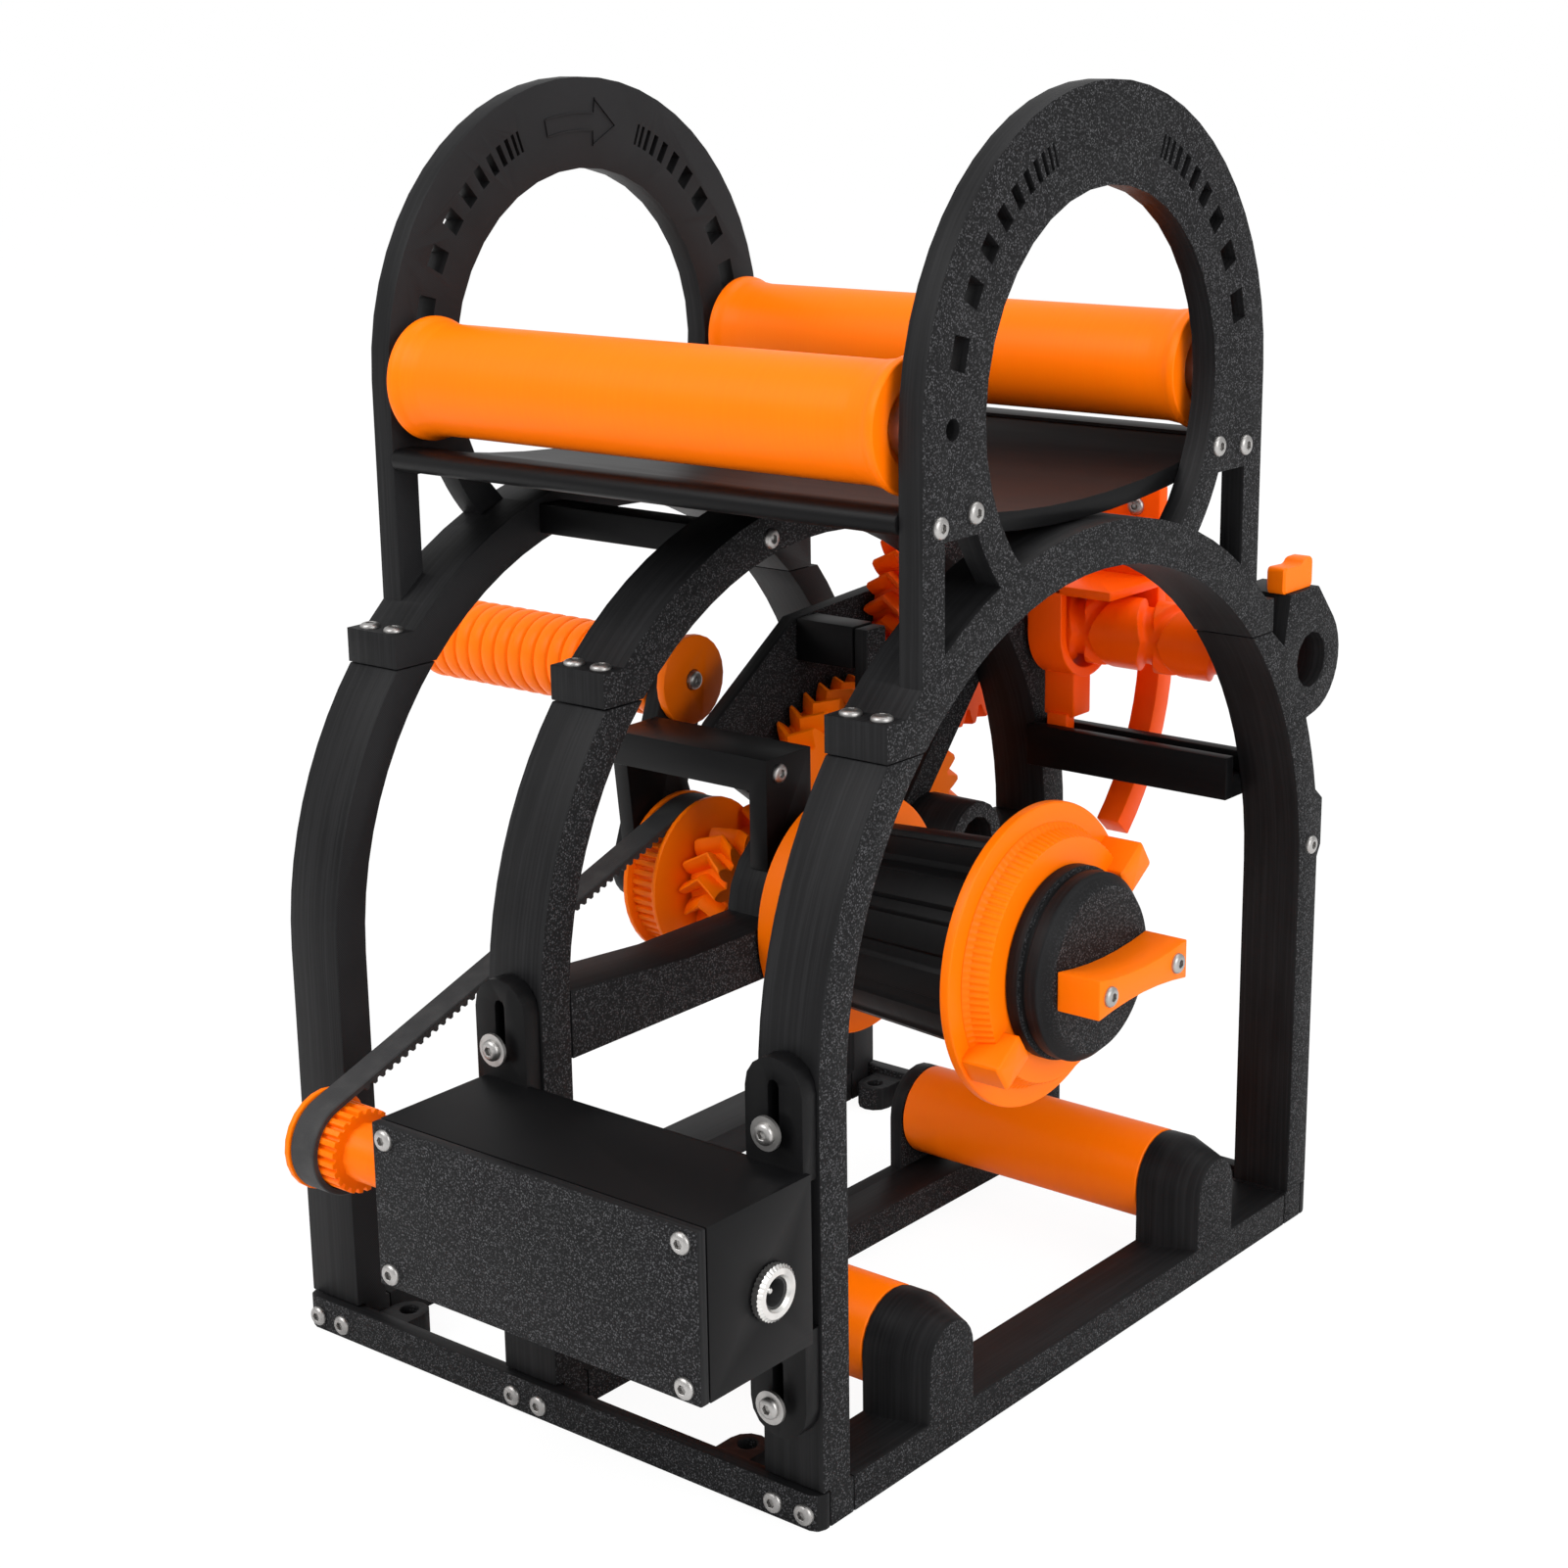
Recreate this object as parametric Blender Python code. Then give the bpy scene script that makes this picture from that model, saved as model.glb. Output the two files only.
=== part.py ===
"""A hand-cranked and motor-driven winder for spools of printing filament.

Three arch frames stand on two rails. The left and right ones carry rings with two rollers for the full
spool, and the empty spool is wound on a hub in the right half. A crank or a motor with a belt turns the hub,
and a train of three herringbone gears turns a cam drum that leads the filament to and fro.

Metres, +Z up, +X along the shafts to the hub's free end, -Y to the motor box. The origin lies on the floor
under the middle of the middle frame.
"""

import math

import bmesh
import bpy
from mathutils import Vector
from mathutils.geometry import delaunay_2d_cdt

# Fits and cuts
SEAT_GAP = 0.0003
SLIDE_GAP = 0.0005
CUT_OVERRUN = 0.002
SAME_POINT = 0.0000001
ONLY_INSIDE = 1
SHARP_DEG = 30.0

# Frames
FRAME_DEPTH = 0.019
RIGHT_FRAME_X = 0.091
MIDDLE_FRAME_X = 0.0
LEFT_FRAME_X = -0.0775
HUB_Z = 0.1135
ARCH_INNER_R = 0.109
ARCH_BAND = 0.0108
CROWN_BAND = 0.012
SPLIT_Z = 0.190
BASE_THICK = 0.010
BASE_HALF_LENGTH = 0.1074
FOOT_FRONT_REACH = 0.0925
FOOT_BACK_REACH = 0.0886
FOOT_BLOCK_HEIGHT = 0.0095
ARCH_STEPS = 10
CROWN_STEPS = 20
PAD_STEPS = 2
BOSS_RISE_STEPS = 4

# Rails
RAIL_INNER_Y = 0.1173
RAIL_THICK = 0.0047
RAIL_CORNER_R = 0.003
EAR_R = 0.0058
EAR_HOLE_R = 0.0027
EAR_HEIGHT = 0.008
EAR_REACH = 0.0085
EAR_CLEARANCE = 0.009

# Rings and their posts
RING_Z = 0.2665
RING_OUTER_R = 0.0785
RING_HOLE_R = 0.053
RING_LOWER_R = 0.062
RING_PLATE = 0.007
POST_WIDTH = 0.0089
WINDOW_TOP_Z = 0.240
CROWN_OVERLAP = 0.002
RING_STEPS = 28
WINDOW_STEPS = 5
AXLE_ACCESS_R = 0.00275
SLOT_CENTRE_R = 0.066
SLOT_LENGTH = 0.0062
SLOT_COUNT = 10
SLOT_FIRST_DEG = 21.7
SLOT_FIRST_STEP_DEG = 1.8
SLOT_FIRST_WIDTH = 0.0009
SLOT_GROWTH = 1.28

# Tray
TRAY_RADIUS = 0.350
TRAY_THICK = 0.0052
TRAY_BAR_INNER_Y = 0.070
TRAY_BAR_OUTER_Y = 0.0797
TRAY_BAR_TOP_Z = 0.248
TRAY_GROOVE_WIDTH = 0.0014
TRAY_GROOVE_DEPTH = 0.0012
TRAY_STEPS = 10
TRAY_BAR_STEPS = 6

# Rollers
TOP_ROLLER_Y = 0.0665
LOWER_ROLLER_Y = 0.066
LOWER_ROLLER_Z = 0.026
ROLLER_R = 0.0138
ROLLER_FLANGE_R = 0.0175
ROLLER_FLANGE_WIDTH = 0.0035
ROLLER_CONE_WIDTH = 0.006
ROLLER_RECESS_R = 0.0105
ROLLER_RECESS_DEPTH = 0.002
ROLLER_END_SPACE = 0.004
ROLLER_STEPS = 24
AXLE_R = 0.004
AXLE_STEPS = 12
COLLAR_R = 0.0085
HOUSING_FACE_R = 0.0095
HOUSING_CONE_LENGTH = 0.012
MIDDLE_HOUSING_THICK = 0.0046
HOUSING_AXLE_DEPTH = 0.0135

# Hub carrier, hub bearings and yoke
CARRIER_HOUSING_R = 0.024
CARRIER_BOTTOM_Z = 0.100
CARRIER_TOP_Z = 0.115
CARRIER_LEG_TOP_Z = 0.1187
CARRIER_KNEE_Y = 0.062
EYE_Y = 0.0718
EYE_OUTER_R = 0.013
EYE_HOLE_R = 0.0083
BEARING_R = 0.011
BEARING_WIDTH = 0.007
BEARING_LIP_R = 0.008
BEARING_LIP_WIDTH = 0.003
SHAFT_R = 0.004
YOKE_LEFT_X = -0.0565
YOKE_LEG_THICK = 0.0055
YOKE_RIGHT_X = 0.0025
YOKE_RIGHT_LEG_THICK = 0.0065
YOKE_BAR_DEPTH = 0.020
YOKE_BAR_BOTTOM_Z = 0.150
YOKE_BAR_HEIGHT = 0.010
YOKE_EYE_R = 0.0155
SADDLE_STEPS = 6

# Belt drive
PULLEY_LEFT_X = -0.0495
PULLEY_FLANGE_THICK = 0.0015
PULLEY_RIM_WIDTH = 0.0095
PULLEY_FLANGE_MARGIN = 0.0024
BELT_PITCH = 0.003
HUB_PULLEY_TEETH = 46
MOTOR_PULLEY_TEETH = 24
PULLEY_TOOTH_DEPTH = 0.0012
PULLEY_TOOTH_SHARES = ((0.0, 0.0), (0.5, 0.0), (0.6, 1.0), (0.9, 1.0))
MOTOR_PULLEY_RIM_WIDTH = 0.0145
MOTOR_PULLEY_HUB_R = 0.008
MOTOR_Y = -0.144
MOTOR_Z = 0.075
BELT_WIDTH = 0.0088
BELT_THICK = 0.0016
BELT_TOOTH_HEIGHT = 0.0011
BELT_TOOTH_SHARES = ((0.2, 0.0), (0.5, 1.0), (0.8, 0.0))
BELT_BARE_PITCHES = 3
BELT_WRAP_STEPS = 18

# Gear train
GEAR_LEFT_X = -0.0355
GEAR_WIDTH = 0.014
GEAR_MODULE = 0.00225
PRESSURE_DEG = 25.0
HELIX_DEG = 30.0
TOOTH_THINNING = 0.0002
ADDENDUM_SHARE = 1.0
DEDENDUM_SHARE = 1.25
FLANK_STEPS = 3
PINION_TEETH = 12
IDLER_TEETH = 40
DRUM_TEETH = 32
DRUM_Y = 0.1117
DRUM_Z = 0.1776
GEAR_PLATE_THICK = 0.005
LEFT_PLATE_GAP = 0.0013
PLATE_TOE_Y = 0.008
PLATE_TOE_Z = 0.153
PLATE_DRUM_R = 0.012
PLATE_IDLER_R = 0.009
PLATE_WINDOW_SHARE = 0.42
TIE_BAR_Y = 0.047
TIE_BAR_Z = 0.1785
TIE_BAR_DEPTH = 0.010
TIE_BAR_HEIGHT = 0.013
CROWN_BAR_Y = -0.030
CROWN_BAR_DEPTH = 0.010
CROWN_BAR_BOTTOM_Z = 0.2195
CROWN_BAR_HEIGHT = 0.0085

# Spool hub
HUB_STEPS = 40
DISC_R = 0.0348
DISC_LEFT_X = 0.0103
DISC_WIDTH = 0.0122
DISC_BEVEL = 0.0008
CORE_LEFT_R = 0.027
CORE_RIGHT_R = 0.030
CORE_LENGTH = 0.0557
CORE_FLUTES = 14
CORE_FLUTE_DEPTH = 0.0014
CORE_FLUTE_SHARES = ((0.0, 0.0), (0.3, 0.0), (0.6, 0.0), (0.68, 1.0), (0.92, 0.6))
NUT_FLANGE_R = 0.0425
NUT_FLANGE_WIDTH = 0.0032
NUT_STEP_R = 0.035
NUT_STEP_WIDTH = 0.0016
NUT_COLLAR_R = 0.031
NUT_COLLAR_WIDTH = 0.0052
NUT_KNURLS = 40
NUT_KNURL_DEPTH = 0.0008
NUT_KNURL_SHARES = ((0.1, 0.0), (0.6, 0.0), (0.85, 1.0))
NUT_LUG_WIDTH = 0.009
NUT_LUG_LENGTH = 0.0125
NUT_LUG_DEPTH = 0.012
NUT_LUG_DEG = 213.7
CAP_R = 0.028
CAP_FRONT_R = 0.0235
CAP_WIDTH = 0.0125
CAP_CONE_WIDTH = 0.0035
CAP_GROOVE = 0.0016
CAP_BORE_DEPTH = 0.009
LEVER_HALF_LENGTH = 0.0215
LEVER_HALF_HEIGHT = 0.0055
LEVER_HALF_WAIST = 0.0036
LEVER_DEPTH = 0.0132
LEVER_STEPS = 6

# Crank
CRANK_LEFT_X = -0.0665
CRANK_THICK = 0.006
CRANK_RADIUS = 0.057
CRANK_REST_DEG = 18.6
CRANK_HUB_R = 0.011
CRANK_TIP_R = 0.0095
GRIP_R = 0.013
GRIP_VALLEY_R = 0.0119
GRIP_LENGTH = 0.098
GRIP_RIBS = 17
GRIP_RIB_SHARES = ((0.08, 0.0), (0.3, 1.0), (0.78, 1.0))
GRIP_BOLT_R = 0.003
GRIP_BOLT_HEAD_R = 0.005
GRIP_BOLT_HEAD_WIDTH = 0.003
GRIP_CAP_R = 0.0138
GRIP_CAP_THICK = 0.003
GRIP_STEPS = 16

# Level wind
CAM_R = 0.011
CAM_COLLAR_R = 0.0102
CAM_GROOVE_DEPTH = 0.0024
CAM_GROOVE_HALF_WIDTH = 0.0026
CAM_GROOVE_TURNS = 2.5
CAM_END_MARGIN = 0.005
CAM_AXIAL_STEPS = 40
CAM_ROUND_STEPS = 24
CAM_SOCKET_DEPTH = 0.012
JOURNAL_R = 0.0077
JOURNAL_LENGTH = 0.0165
BOSS_HOLE_R = 0.0082
BOSS_R = 0.0167
BOSS_START_DEG = 40.0
BOSS_END_DEG = -78.0
NOTCH_Y = 0.0957
NOTCH_Z = 0.1845
LUG_INNER_Y = 0.0985
LUG_OUTER_Y = 0.115
LUG_TOP_Z = 0.199
PAD_OUT = 0.1218
PAD_LOW_Z = 0.119
PAD_HIGH_Z = 0.137
PAD_SLOPE = 0.0035
WIND_RAIL_INNER_Y = 0.098
WIND_RAIL_DEPTH = 0.014
WIND_RAIL_BOTTOM_Z = 0.1345
WIND_RAIL_HEIGHT = 0.013
WIND_SLOT_WIDTH = 0.0056
WIND_SLOT_DEPTH = 0.006
CARRIAGE_LEFT_X = 0.011
CARRIAGE_LENGTH = 0.030
CARRIAGE_FRONT_Y = 0.0965
CARRIAGE_BACK_Y = 0.1275
CARRIAGE_BOTTOM_Z = 0.150
CARRIAGE_TOP_Z = 0.193
CARRIAGE_STEM_BACK_Y = 0.1135
CARRIAGE_STEM_TOP_Z = 0.158
CARRIAGE_WAIST_Z = 0.1696
CARRIAGE_CAM_GAP = 0.0008
CARRIAGE_ROOF = 0.003
CARRIAGE_WALL_THICK = 0.0045
CARRIAGE_WALL_TOP_Z = 0.221
CARRIAGE_FOOT_LENGTH = 0.016
ARM_THICK = 0.008
ARM_TOP_Z = 0.192
ARM_BEND_Z = 0.165
ARM_BEND_R = 0.075
ARM_BEND_DEG = 42.0
ARM_TOP_X = 0.0365
ARM_TIP_X = 0.0325
ARM_STEPS = 8
CLIP_INNER_Y = 0.0995
CLIP_OUTER_Y = 0.116
CLIP_HEIGHT = 0.0105
CLIP_WALL = 0.0028
CLIP_LENGTH = 0.012

# Motor box
BOX_LEFT_X = -0.0065
BOX_RIGHT_X = 0.1011
BOX_FRONT_Y = -0.165
BOX_BACK_Y = -0.124
BOX_BOTTOM_Z = 0.053
BOX_TOP_Z = 0.097
BOX_WALL = 0.0026
PANEL_THICK = 0.003
TAB_THICK = 0.0039
TAB_HALF_WIDTH = 0.0088
TAB_TOP_Z = 0.1246
TAB_BOTTOM_Z = 0.025
TAB_SLOT_HALF_WIDTH = 0.0017
TAB_STEPS = 8
TAB_SLOT_STEPS = 4
UPPER_SLOT_LOW_Z = 0.1055
UPPER_SLOT_HIGH_Z = 0.119
LOWER_SLOT_LOW_Z = 0.0327
LOWER_SLOT_HIGH_Z = 0.0468
JACK_Y = -0.1399
JACK_Z = 0.073
JACK_RING_R = 0.0072
JACK_BODY_R = 0.0055
JACK_SOCKET_R = 0.0034
JACK_RING_THICK = 0.0025
JACK_LENGTH = 0.014
JACK_SOCKET_DEPTH = 0.010
JACK_PIN_R = 0.001
MOTOR_R = 0.0155
MOTOR_LENGTH = 0.044
MOTOR_BOSS_R = 0.006
MOTOR_SHAFT_R = 0.003

# Places that follow from the sizes above
ARCH_OUTER_R = ARCH_INNER_R + ARCH_BAND
CROWN_OUTER_R = ARCH_INNER_R + CROWN_BAND
HALF_DEPTH = FRAME_DEPTH / 2
RIGHT_FACE_X = RIGHT_FRAME_X + HALF_DEPTH
RIGHT_INNER_X = RIGHT_FRAME_X - HALF_DEPTH
MIDDLE_RIGHT_X = MIDDLE_FRAME_X + HALF_DEPTH
MIDDLE_LEFT_X = MIDDLE_FRAME_X - HALF_DEPTH
LEFT_FACE_X = LEFT_FRAME_X - HALF_DEPTH
LEFT_INNER_X = LEFT_FRAME_X + HALF_DEPTH
POST_INNER_Y = RING_OUTER_R - POST_WIDTH
RAIL_OUTER_Y = RAIL_INNER_Y + RAIL_THICK
LEFT_PLATE_X = LEFT_FACE_X + RING_PLATE
RIGHT_PLATE_X = RIGHT_FACE_X - RING_PLATE
TRAY_BOTTOM_Z = HUB_Z + CROWN_OUTER_R + SEAT_GAP
TRAY_TOP_Z = TRAY_BOTTOM_Z + TRAY_THICK
SHAFT_BORE_R = SHAFT_R + SEAT_GAP
AXLE_BORE_R = AXLE_R + SEAT_GAP
GEAR_RIGHT_X = GEAR_LEFT_X + GEAR_WIDTH
PINION_PITCH_R = GEAR_MODULE * PINION_TEETH / 2
IDLER_PITCH_R = GEAR_MODULE * IDLER_TEETH / 2
DRUM_PITCH_R = GEAR_MODULE * DRUM_TEETH / 2
HUB_PULLEY_R = BELT_PITCH * HUB_PULLEY_TEETH / math.tau
MOTOR_PULLEY_R = BELT_PITCH * MOTOR_PULLEY_TEETH / math.tau
PULLEY_RIM_X = PULLEY_LEFT_X + PULLEY_FLANGE_THICK
PULLEY_RIM_END_X = PULLEY_RIM_X + PULLEY_RIM_WIDTH
CRANK_RIGHT_X = CRANK_LEFT_X + CRANK_THICK
GRIP_Y = CRANK_RADIUS * math.sin(math.radians(CRANK_REST_DEG))
GRIP_Z = HUB_Z + CRANK_RADIUS * math.cos(math.radians(CRANK_REST_DEG))
CORE_LEFT_X = DISC_LEFT_X + DISC_WIDTH + SEAT_GAP
NUT_LEFT_X = CORE_LEFT_X + CORE_LENGTH + SEAT_GAP
CAP_LEFT_X = NUT_LEFT_X + NUT_FLANGE_WIDTH + NUT_STEP_WIDTH + NUT_COLLAR_WIDTH + SEAT_GAP
CAP_RIGHT_X = CAP_LEFT_X + CAP_WIDTH
HUB = (0.0, HUB_Z)
DRUM = (DRUM_Y, DRUM_Z)
MOTOR = (MOTOR_Y, MOTOR_Z)
GRIP = (GRIP_Y, GRIP_Z)


def crossing(first, first_r, second, second_r):
    """The lower crossing point of two circles in the YZ plane: here, the idler's centre."""
    gap_y = second[0] - first[0]
    gap_z = second[1] - first[1]
    distance = math.hypot(gap_y, gap_z)
    along = (first_r**2 - second_r**2 + distance**2) / (2 * distance)
    aside = math.sqrt(max(first_r**2 - along**2, 0))
    unit_y = gap_y / distance
    unit_z = gap_z / distance
    return (first[0] + along * unit_y + aside * unit_z, first[1] + along * unit_z - aside * unit_y)


IDLER = crossing(HUB, PINION_PITCH_R + IDLER_PITCH_R, DRUM, IDLER_PITCH_R + DRUM_PITCH_R)


def clear_scene():
    """Removes what the scene starts with."""
    for obj in list(bpy.data.objects):
        bpy.data.objects.remove(obj, do_unlink=True)


def material(name, colour, roughness, metallic=0.0):
    """A plain finish with the piece's colour, roughness and metallic value."""
    made = bpy.data.materials.new(name)
    made.use_nodes = True
    shader = made.node_tree.nodes["Principled BSDF"]
    shader.inputs["Base Color"].default_value = (*colour, 1.0)
    shader.inputs["Roughness"].default_value = roughness
    shader.inputs["Metallic"].default_value = metallic
    made.diffuse_color = (*colour, 1.0)
    return made


def arc(centre, radius, start_deg, end_deg, steps):
    """Points (y, z) along an arc, with angles counted from +Y towards +Z."""
    turn = [math.radians(start_deg + (end_deg - start_deg) * i / steps) for i in range(steps + 1)]
    return [(centre[0] + radius * math.cos(a), centre[1] + radius * math.sin(a)) for a in turn]


def circle(centre, radius, steps):
    """A closed ring of points (y, z)."""
    return arc(centre, radius, 0, 360, steps)[:-1]


def hull(points):
    """The convex outline round a set of points."""
    ordered = sorted(set(points))
    chains = []
    for side in (ordered, ordered[::-1]):
        chain = []
        for p in side:
            while len(chain) > 1 and turn_of(chain[-2], chain[-1], p) <= 0:
                chain.pop()
            chain.append(p)
        chains.append(chain[:-1])
    return chains[0] + chains[1]


def turn_of(a, b, c):
    """Twice the signed area of a triangle: positive where the path a, b, c turns to the left."""
    return (b[0] - a[0]) * (c[1] - a[1]) - (b[1] - a[1]) * (c[0] - a[0])


def rectangle(low_y, high_y, low_z, high_z):
    """The four corners of a box's outline."""
    return [(low_y, low_z), (high_y, low_z), (high_y, high_z), (low_y, high_z)]


def height_on(radius, y):
    """The height above the floor of the arch circle of this radius at y."""
    return HUB_Z + math.sqrt(max(radius**2 - y**2, 0))


def angle_at(radius, z):
    """The angle in degrees, above level, where an arch circle passes this height."""
    return math.degrees(math.asin(min((z - HUB_Z) / radius, 1)))


def finish(name, points, faces, finish_of, origin):
    """Makes a closed mesh object whose origin lies at the given place."""
    mesh = bpy.data.meshes.new(name)
    base = Vector(origin)
    mesh.from_pydata([Vector(p) - base for p in points], [], faces)
    work = bmesh.new()
    work.from_mesh(mesh)
    bmesh.ops.recalc_face_normals(work, faces=work.faces)
    work.to_mesh(mesh)
    work.free()
    mesh.shade_smooth()
    mesh.set_sharp_from_angle(angle=math.radians(SHARP_DEG))
    made = bpy.data.objects.new(name, mesh)
    made.location = base
    if finish_of:
        mesh.materials.append(finish_of)
    bpy.context.scene.collection.objects.link(made)
    return made


def area_of(loop):
    """Twice the signed area inside a closed outline, positive where it runs to the left."""
    pairs = zip(loop, loop[1:] + loop[:1])
    return sum(first[0] * second[1] - second[0] * first[1] for first, second in pairs)


def filled(loops):
    """Triangles, as point numbers, that fill an outline and leave the loops inside it open."""
    points = []
    faces = []
    for loop in loops:
        face = list(range(len(points), len(points) + len(loop)))
        points += [Vector(p) for p in loop]
        faces.append(face if area_of(loop) > 0 else face[::-1])
    found = delaunay_2d_cdt(points, [], faces, ONLY_INSIDE, SAME_POINT)
    covers = zip(found[2], found[5])
    return [[found[3][k][0] for k in face] for face, loops_there in covers if len(loops_there) == 1]


def stack(name, sections, finish_of=None, holes=(), origin=(0, 0, 0), axis="X"):
    """A solid through outlines of equal point counts at rising places along an axis, with straight holes.

    Each section is (place, outline). An outline's pairs are (y, z) along X and (x, z) along Y, and (x, y)
    along Z.
    """
    orders = {"X": lambda u, v, w: (w, u, v), "Y": lambda u, v, w: (u, w, v), "Z": lambda u, v, w: (u, v, w)}
    order = orders[axis]
    points = []
    faces = []
    count = len(sections[0][1])
    for place, outline in sections:
        points += [order(u, v, place) for u, v in outline]
    for level in range(len(sections) - 1):
        low = level * count
        for i in range(count):
            j = (i + 1) % count
            faces.append((low + i, low + j, low + count + j, low + count + i))
    rims = [[], []]
    for hole in holes:
        for end in (0, 1):
            rims[end] += range(len(points), len(points) + len(hole))
            points += [order(u, v, sections[-end][0]) for u, v in hole]
        low = len(points) - 2 * len(hole)
        for i in range(len(hole)):
            j = (i + 1) % len(hole)
            faces.append((low + i, low + j, low + len(hole) + j, low + len(hole) + i))
    for end in (0, 1):
        first = end * (len(sections) - 1) * count
        index = [*range(first, first + count), *rims[end]]
        faces += [tuple(index[k] for k in face) for face in filled([sections[-end][1], *holes])]
    return finish(name, points, faces, finish_of, origin)


def prism(name, outline, low, high, finish_of=None, holes=(), origin=(0, 0, 0), axis="X"):
    """A straight solid from low to high along an axis."""
    return stack(name, [(low, outline), (high, outline)], finish_of, holes, origin, axis)


def box(name, low, high, finish_of=None, origin=(0, 0, 0)):
    """A block between two corners."""
    outline = rectangle(low[1], high[1], low[2], high[2])
    return prism(name, outline, low[0], high[0], finish_of, origin=origin)


def turned(name, profile, centre, finish_of=None, steps=ROLLER_STEPS, bored=False, origin=None):
    """A turned solid about a line along X through (y, z).

    The profile is a list of (x, radius). Without a bore it runs from one pole at radius zero to the other,
    and with a bore it is a closed loop that never meets the axis.
    """
    points = []
    rings = []
    for x, radius in profile:
        if radius == 0:
            rings.append([len(points)] * steps)
            points.append((x, *centre))
            continue
        rings.append(list(range(len(points), len(points) + steps)))
        points += [(x, y, z) for y, z in circle(centre, radius, steps)]
    if bored:
        rings.append(rings[0])
    faces = []
    for low, high in zip(rings, rings[1:]):
        for i in range(steps):
            j = (i + 1) % steps
            corners = dict.fromkeys((low[i], low[j], high[j], high[i]))
            faces.append(tuple(corners))
    return finish(name, points, faces, finish_of, origin or (profile[0][0], *centre))


def combine(target, tool, operation):
    """Adds an exact Boolean with a helper that stays out of the model."""
    change = target.modifiers.new(f"{operation.lower()}_{tool.name}", "BOOLEAN")
    change.operation = operation
    change.solver = "EXACT"
    change.object = tool
    tool.hide_render = True
    tool.display_type = "WIRE"


def cut(target, *tools):
    """Cuts the tools out of the target."""
    for tool in tools:
        combine(target, tool, "DIFFERENCE")


def join(target, *tools):
    """Unites the tools with the target."""
    for tool in tools:
        combine(target, tool, "UNION")


# Frames


def leg_outline(side, boss=False):
    """The outline of a lower leg: foot, straight shank and arch up to the split. side is 1 for the back."""
    inner_deg = angle_at(ARCH_INNER_R, SPLIT_Z)
    outer_deg = angle_at(ARCH_OUTER_R, SPLIT_Z)
    foot_top = BASE_THICK + SEAT_GAP
    points = [
        (BASE_HALF_LENGTH + SEAT_GAP, 0),
        (RAIL_INNER_Y - SEAT_GAP, 0),
        (RAIL_INNER_Y - SEAT_GAP, foot_top),
        (ARCH_OUTER_R, foot_top),
    ]
    if boss:
        points += boss_outline()
    else:
        points += arc(HUB, ARCH_OUTER_R, 0, outer_deg, ARCH_STEPS)
    points += arc(HUB, ARCH_INNER_R, inner_deg, 0, ARCH_STEPS)
    points += [(ARCH_INNER_R, BASE_THICK), (BASE_HALF_LENGTH + SEAT_GAP, BASE_THICK)]
    return [(side * y, z) for y, z in points]


def boss_outline():
    """The back edge of the right back leg: screw pad, arch, boss of the drum, lug of the clip and notch."""
    pad_low_deg = angle_at(ARCH_OUTER_R, PAD_LOW_Z - PAD_SLOPE)
    pad_high_deg = angle_at(ARCH_OUTER_R, PAD_HIGH_Z)
    points = arc(HUB, ARCH_OUTER_R, 0, pad_low_deg, PAD_STEPS)
    points += [(PAD_OUT, PAD_LOW_Z), (PAD_OUT, PAD_HIGH_Z - PAD_SLOPE)]
    join_deg = math.degrees(math.atan2(DRUM_Z - BOSS_R - HUB_Z, DRUM_Y))
    points += arc(HUB, ARCH_OUTER_R, pad_high_deg, join_deg, BOSS_RISE_STEPS)
    points += arc(DRUM, BOSS_R, BOSS_END_DEG, BOSS_START_DEG, ARCH_STEPS)
    points += [(LUG_OUTER_Y, LUG_TOP_Z), (LUG_INNER_Y, LUG_TOP_Z)]
    points += [(NOTCH_Y, NOTCH_Z), (FOOT_BACK_REACH, SPLIT_Z)]
    return points


def lower_frame(name, centre_x, finish_of, boss=False):
    """The two legs of a frame, from the floor to the split under its crown."""
    low = centre_x - HALF_DEPTH
    high = centre_x + HALF_DEPTH
    prism(f"{name}_front_leg", leg_outline(-1), low, high, finish_of)
    holes = [circle(DRUM, BOSS_HOLE_R, AXLE_STEPS)] if boss else []
    prism(f"{name}_back_leg", leg_outline(1, boss), low, high, finish_of, holes)


def crown_outline():
    """The arch above the split, with a foot block at each end that is screwed to the leg below."""
    split = SPLIT_Z + SEAT_GAP
    block_top = split + FOOT_BLOCK_HEIGHT
    inner_deg = angle_at(ARCH_INNER_R, split)
    outer_deg = angle_at(CROWN_OUTER_R, block_top)
    points = [(FOOT_BACK_REACH, split), (FOOT_BACK_REACH, block_top)]
    points += arc(HUB, CROWN_OUTER_R, outer_deg, 180 - outer_deg, CROWN_STEPS)
    points += [(-FOOT_FRONT_REACH, block_top), (-FOOT_FRONT_REACH, split)]
    points += arc(HUB, ARCH_INNER_R, 180 - inner_deg, inner_deg, CROWN_STEPS)
    return points


def ring_opening():
    """The hole of the ring, closed below inside the crown that fills it there."""
    floor_r = CROWN_OUTER_R - CROWN_OVERLAP
    rise = RING_Z - HUB_Z
    low = (floor_r**2 - RING_HOLE_R**2 + rise**2) / (2 * rise)
    half = math.sqrt(floor_r**2 - low**2)
    ring_deg = math.degrees(math.atan2(HUB_Z + low - RING_Z, half))
    floor_deg = math.degrees(math.atan2(low, half))
    points = arc((0, RING_Z), RING_HOLE_R, ring_deg, 180 - ring_deg, RING_STEPS)
    return points + arc(HUB, floor_r, 180 - floor_deg, floor_deg, ARCH_STEPS)[1:-1]


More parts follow.
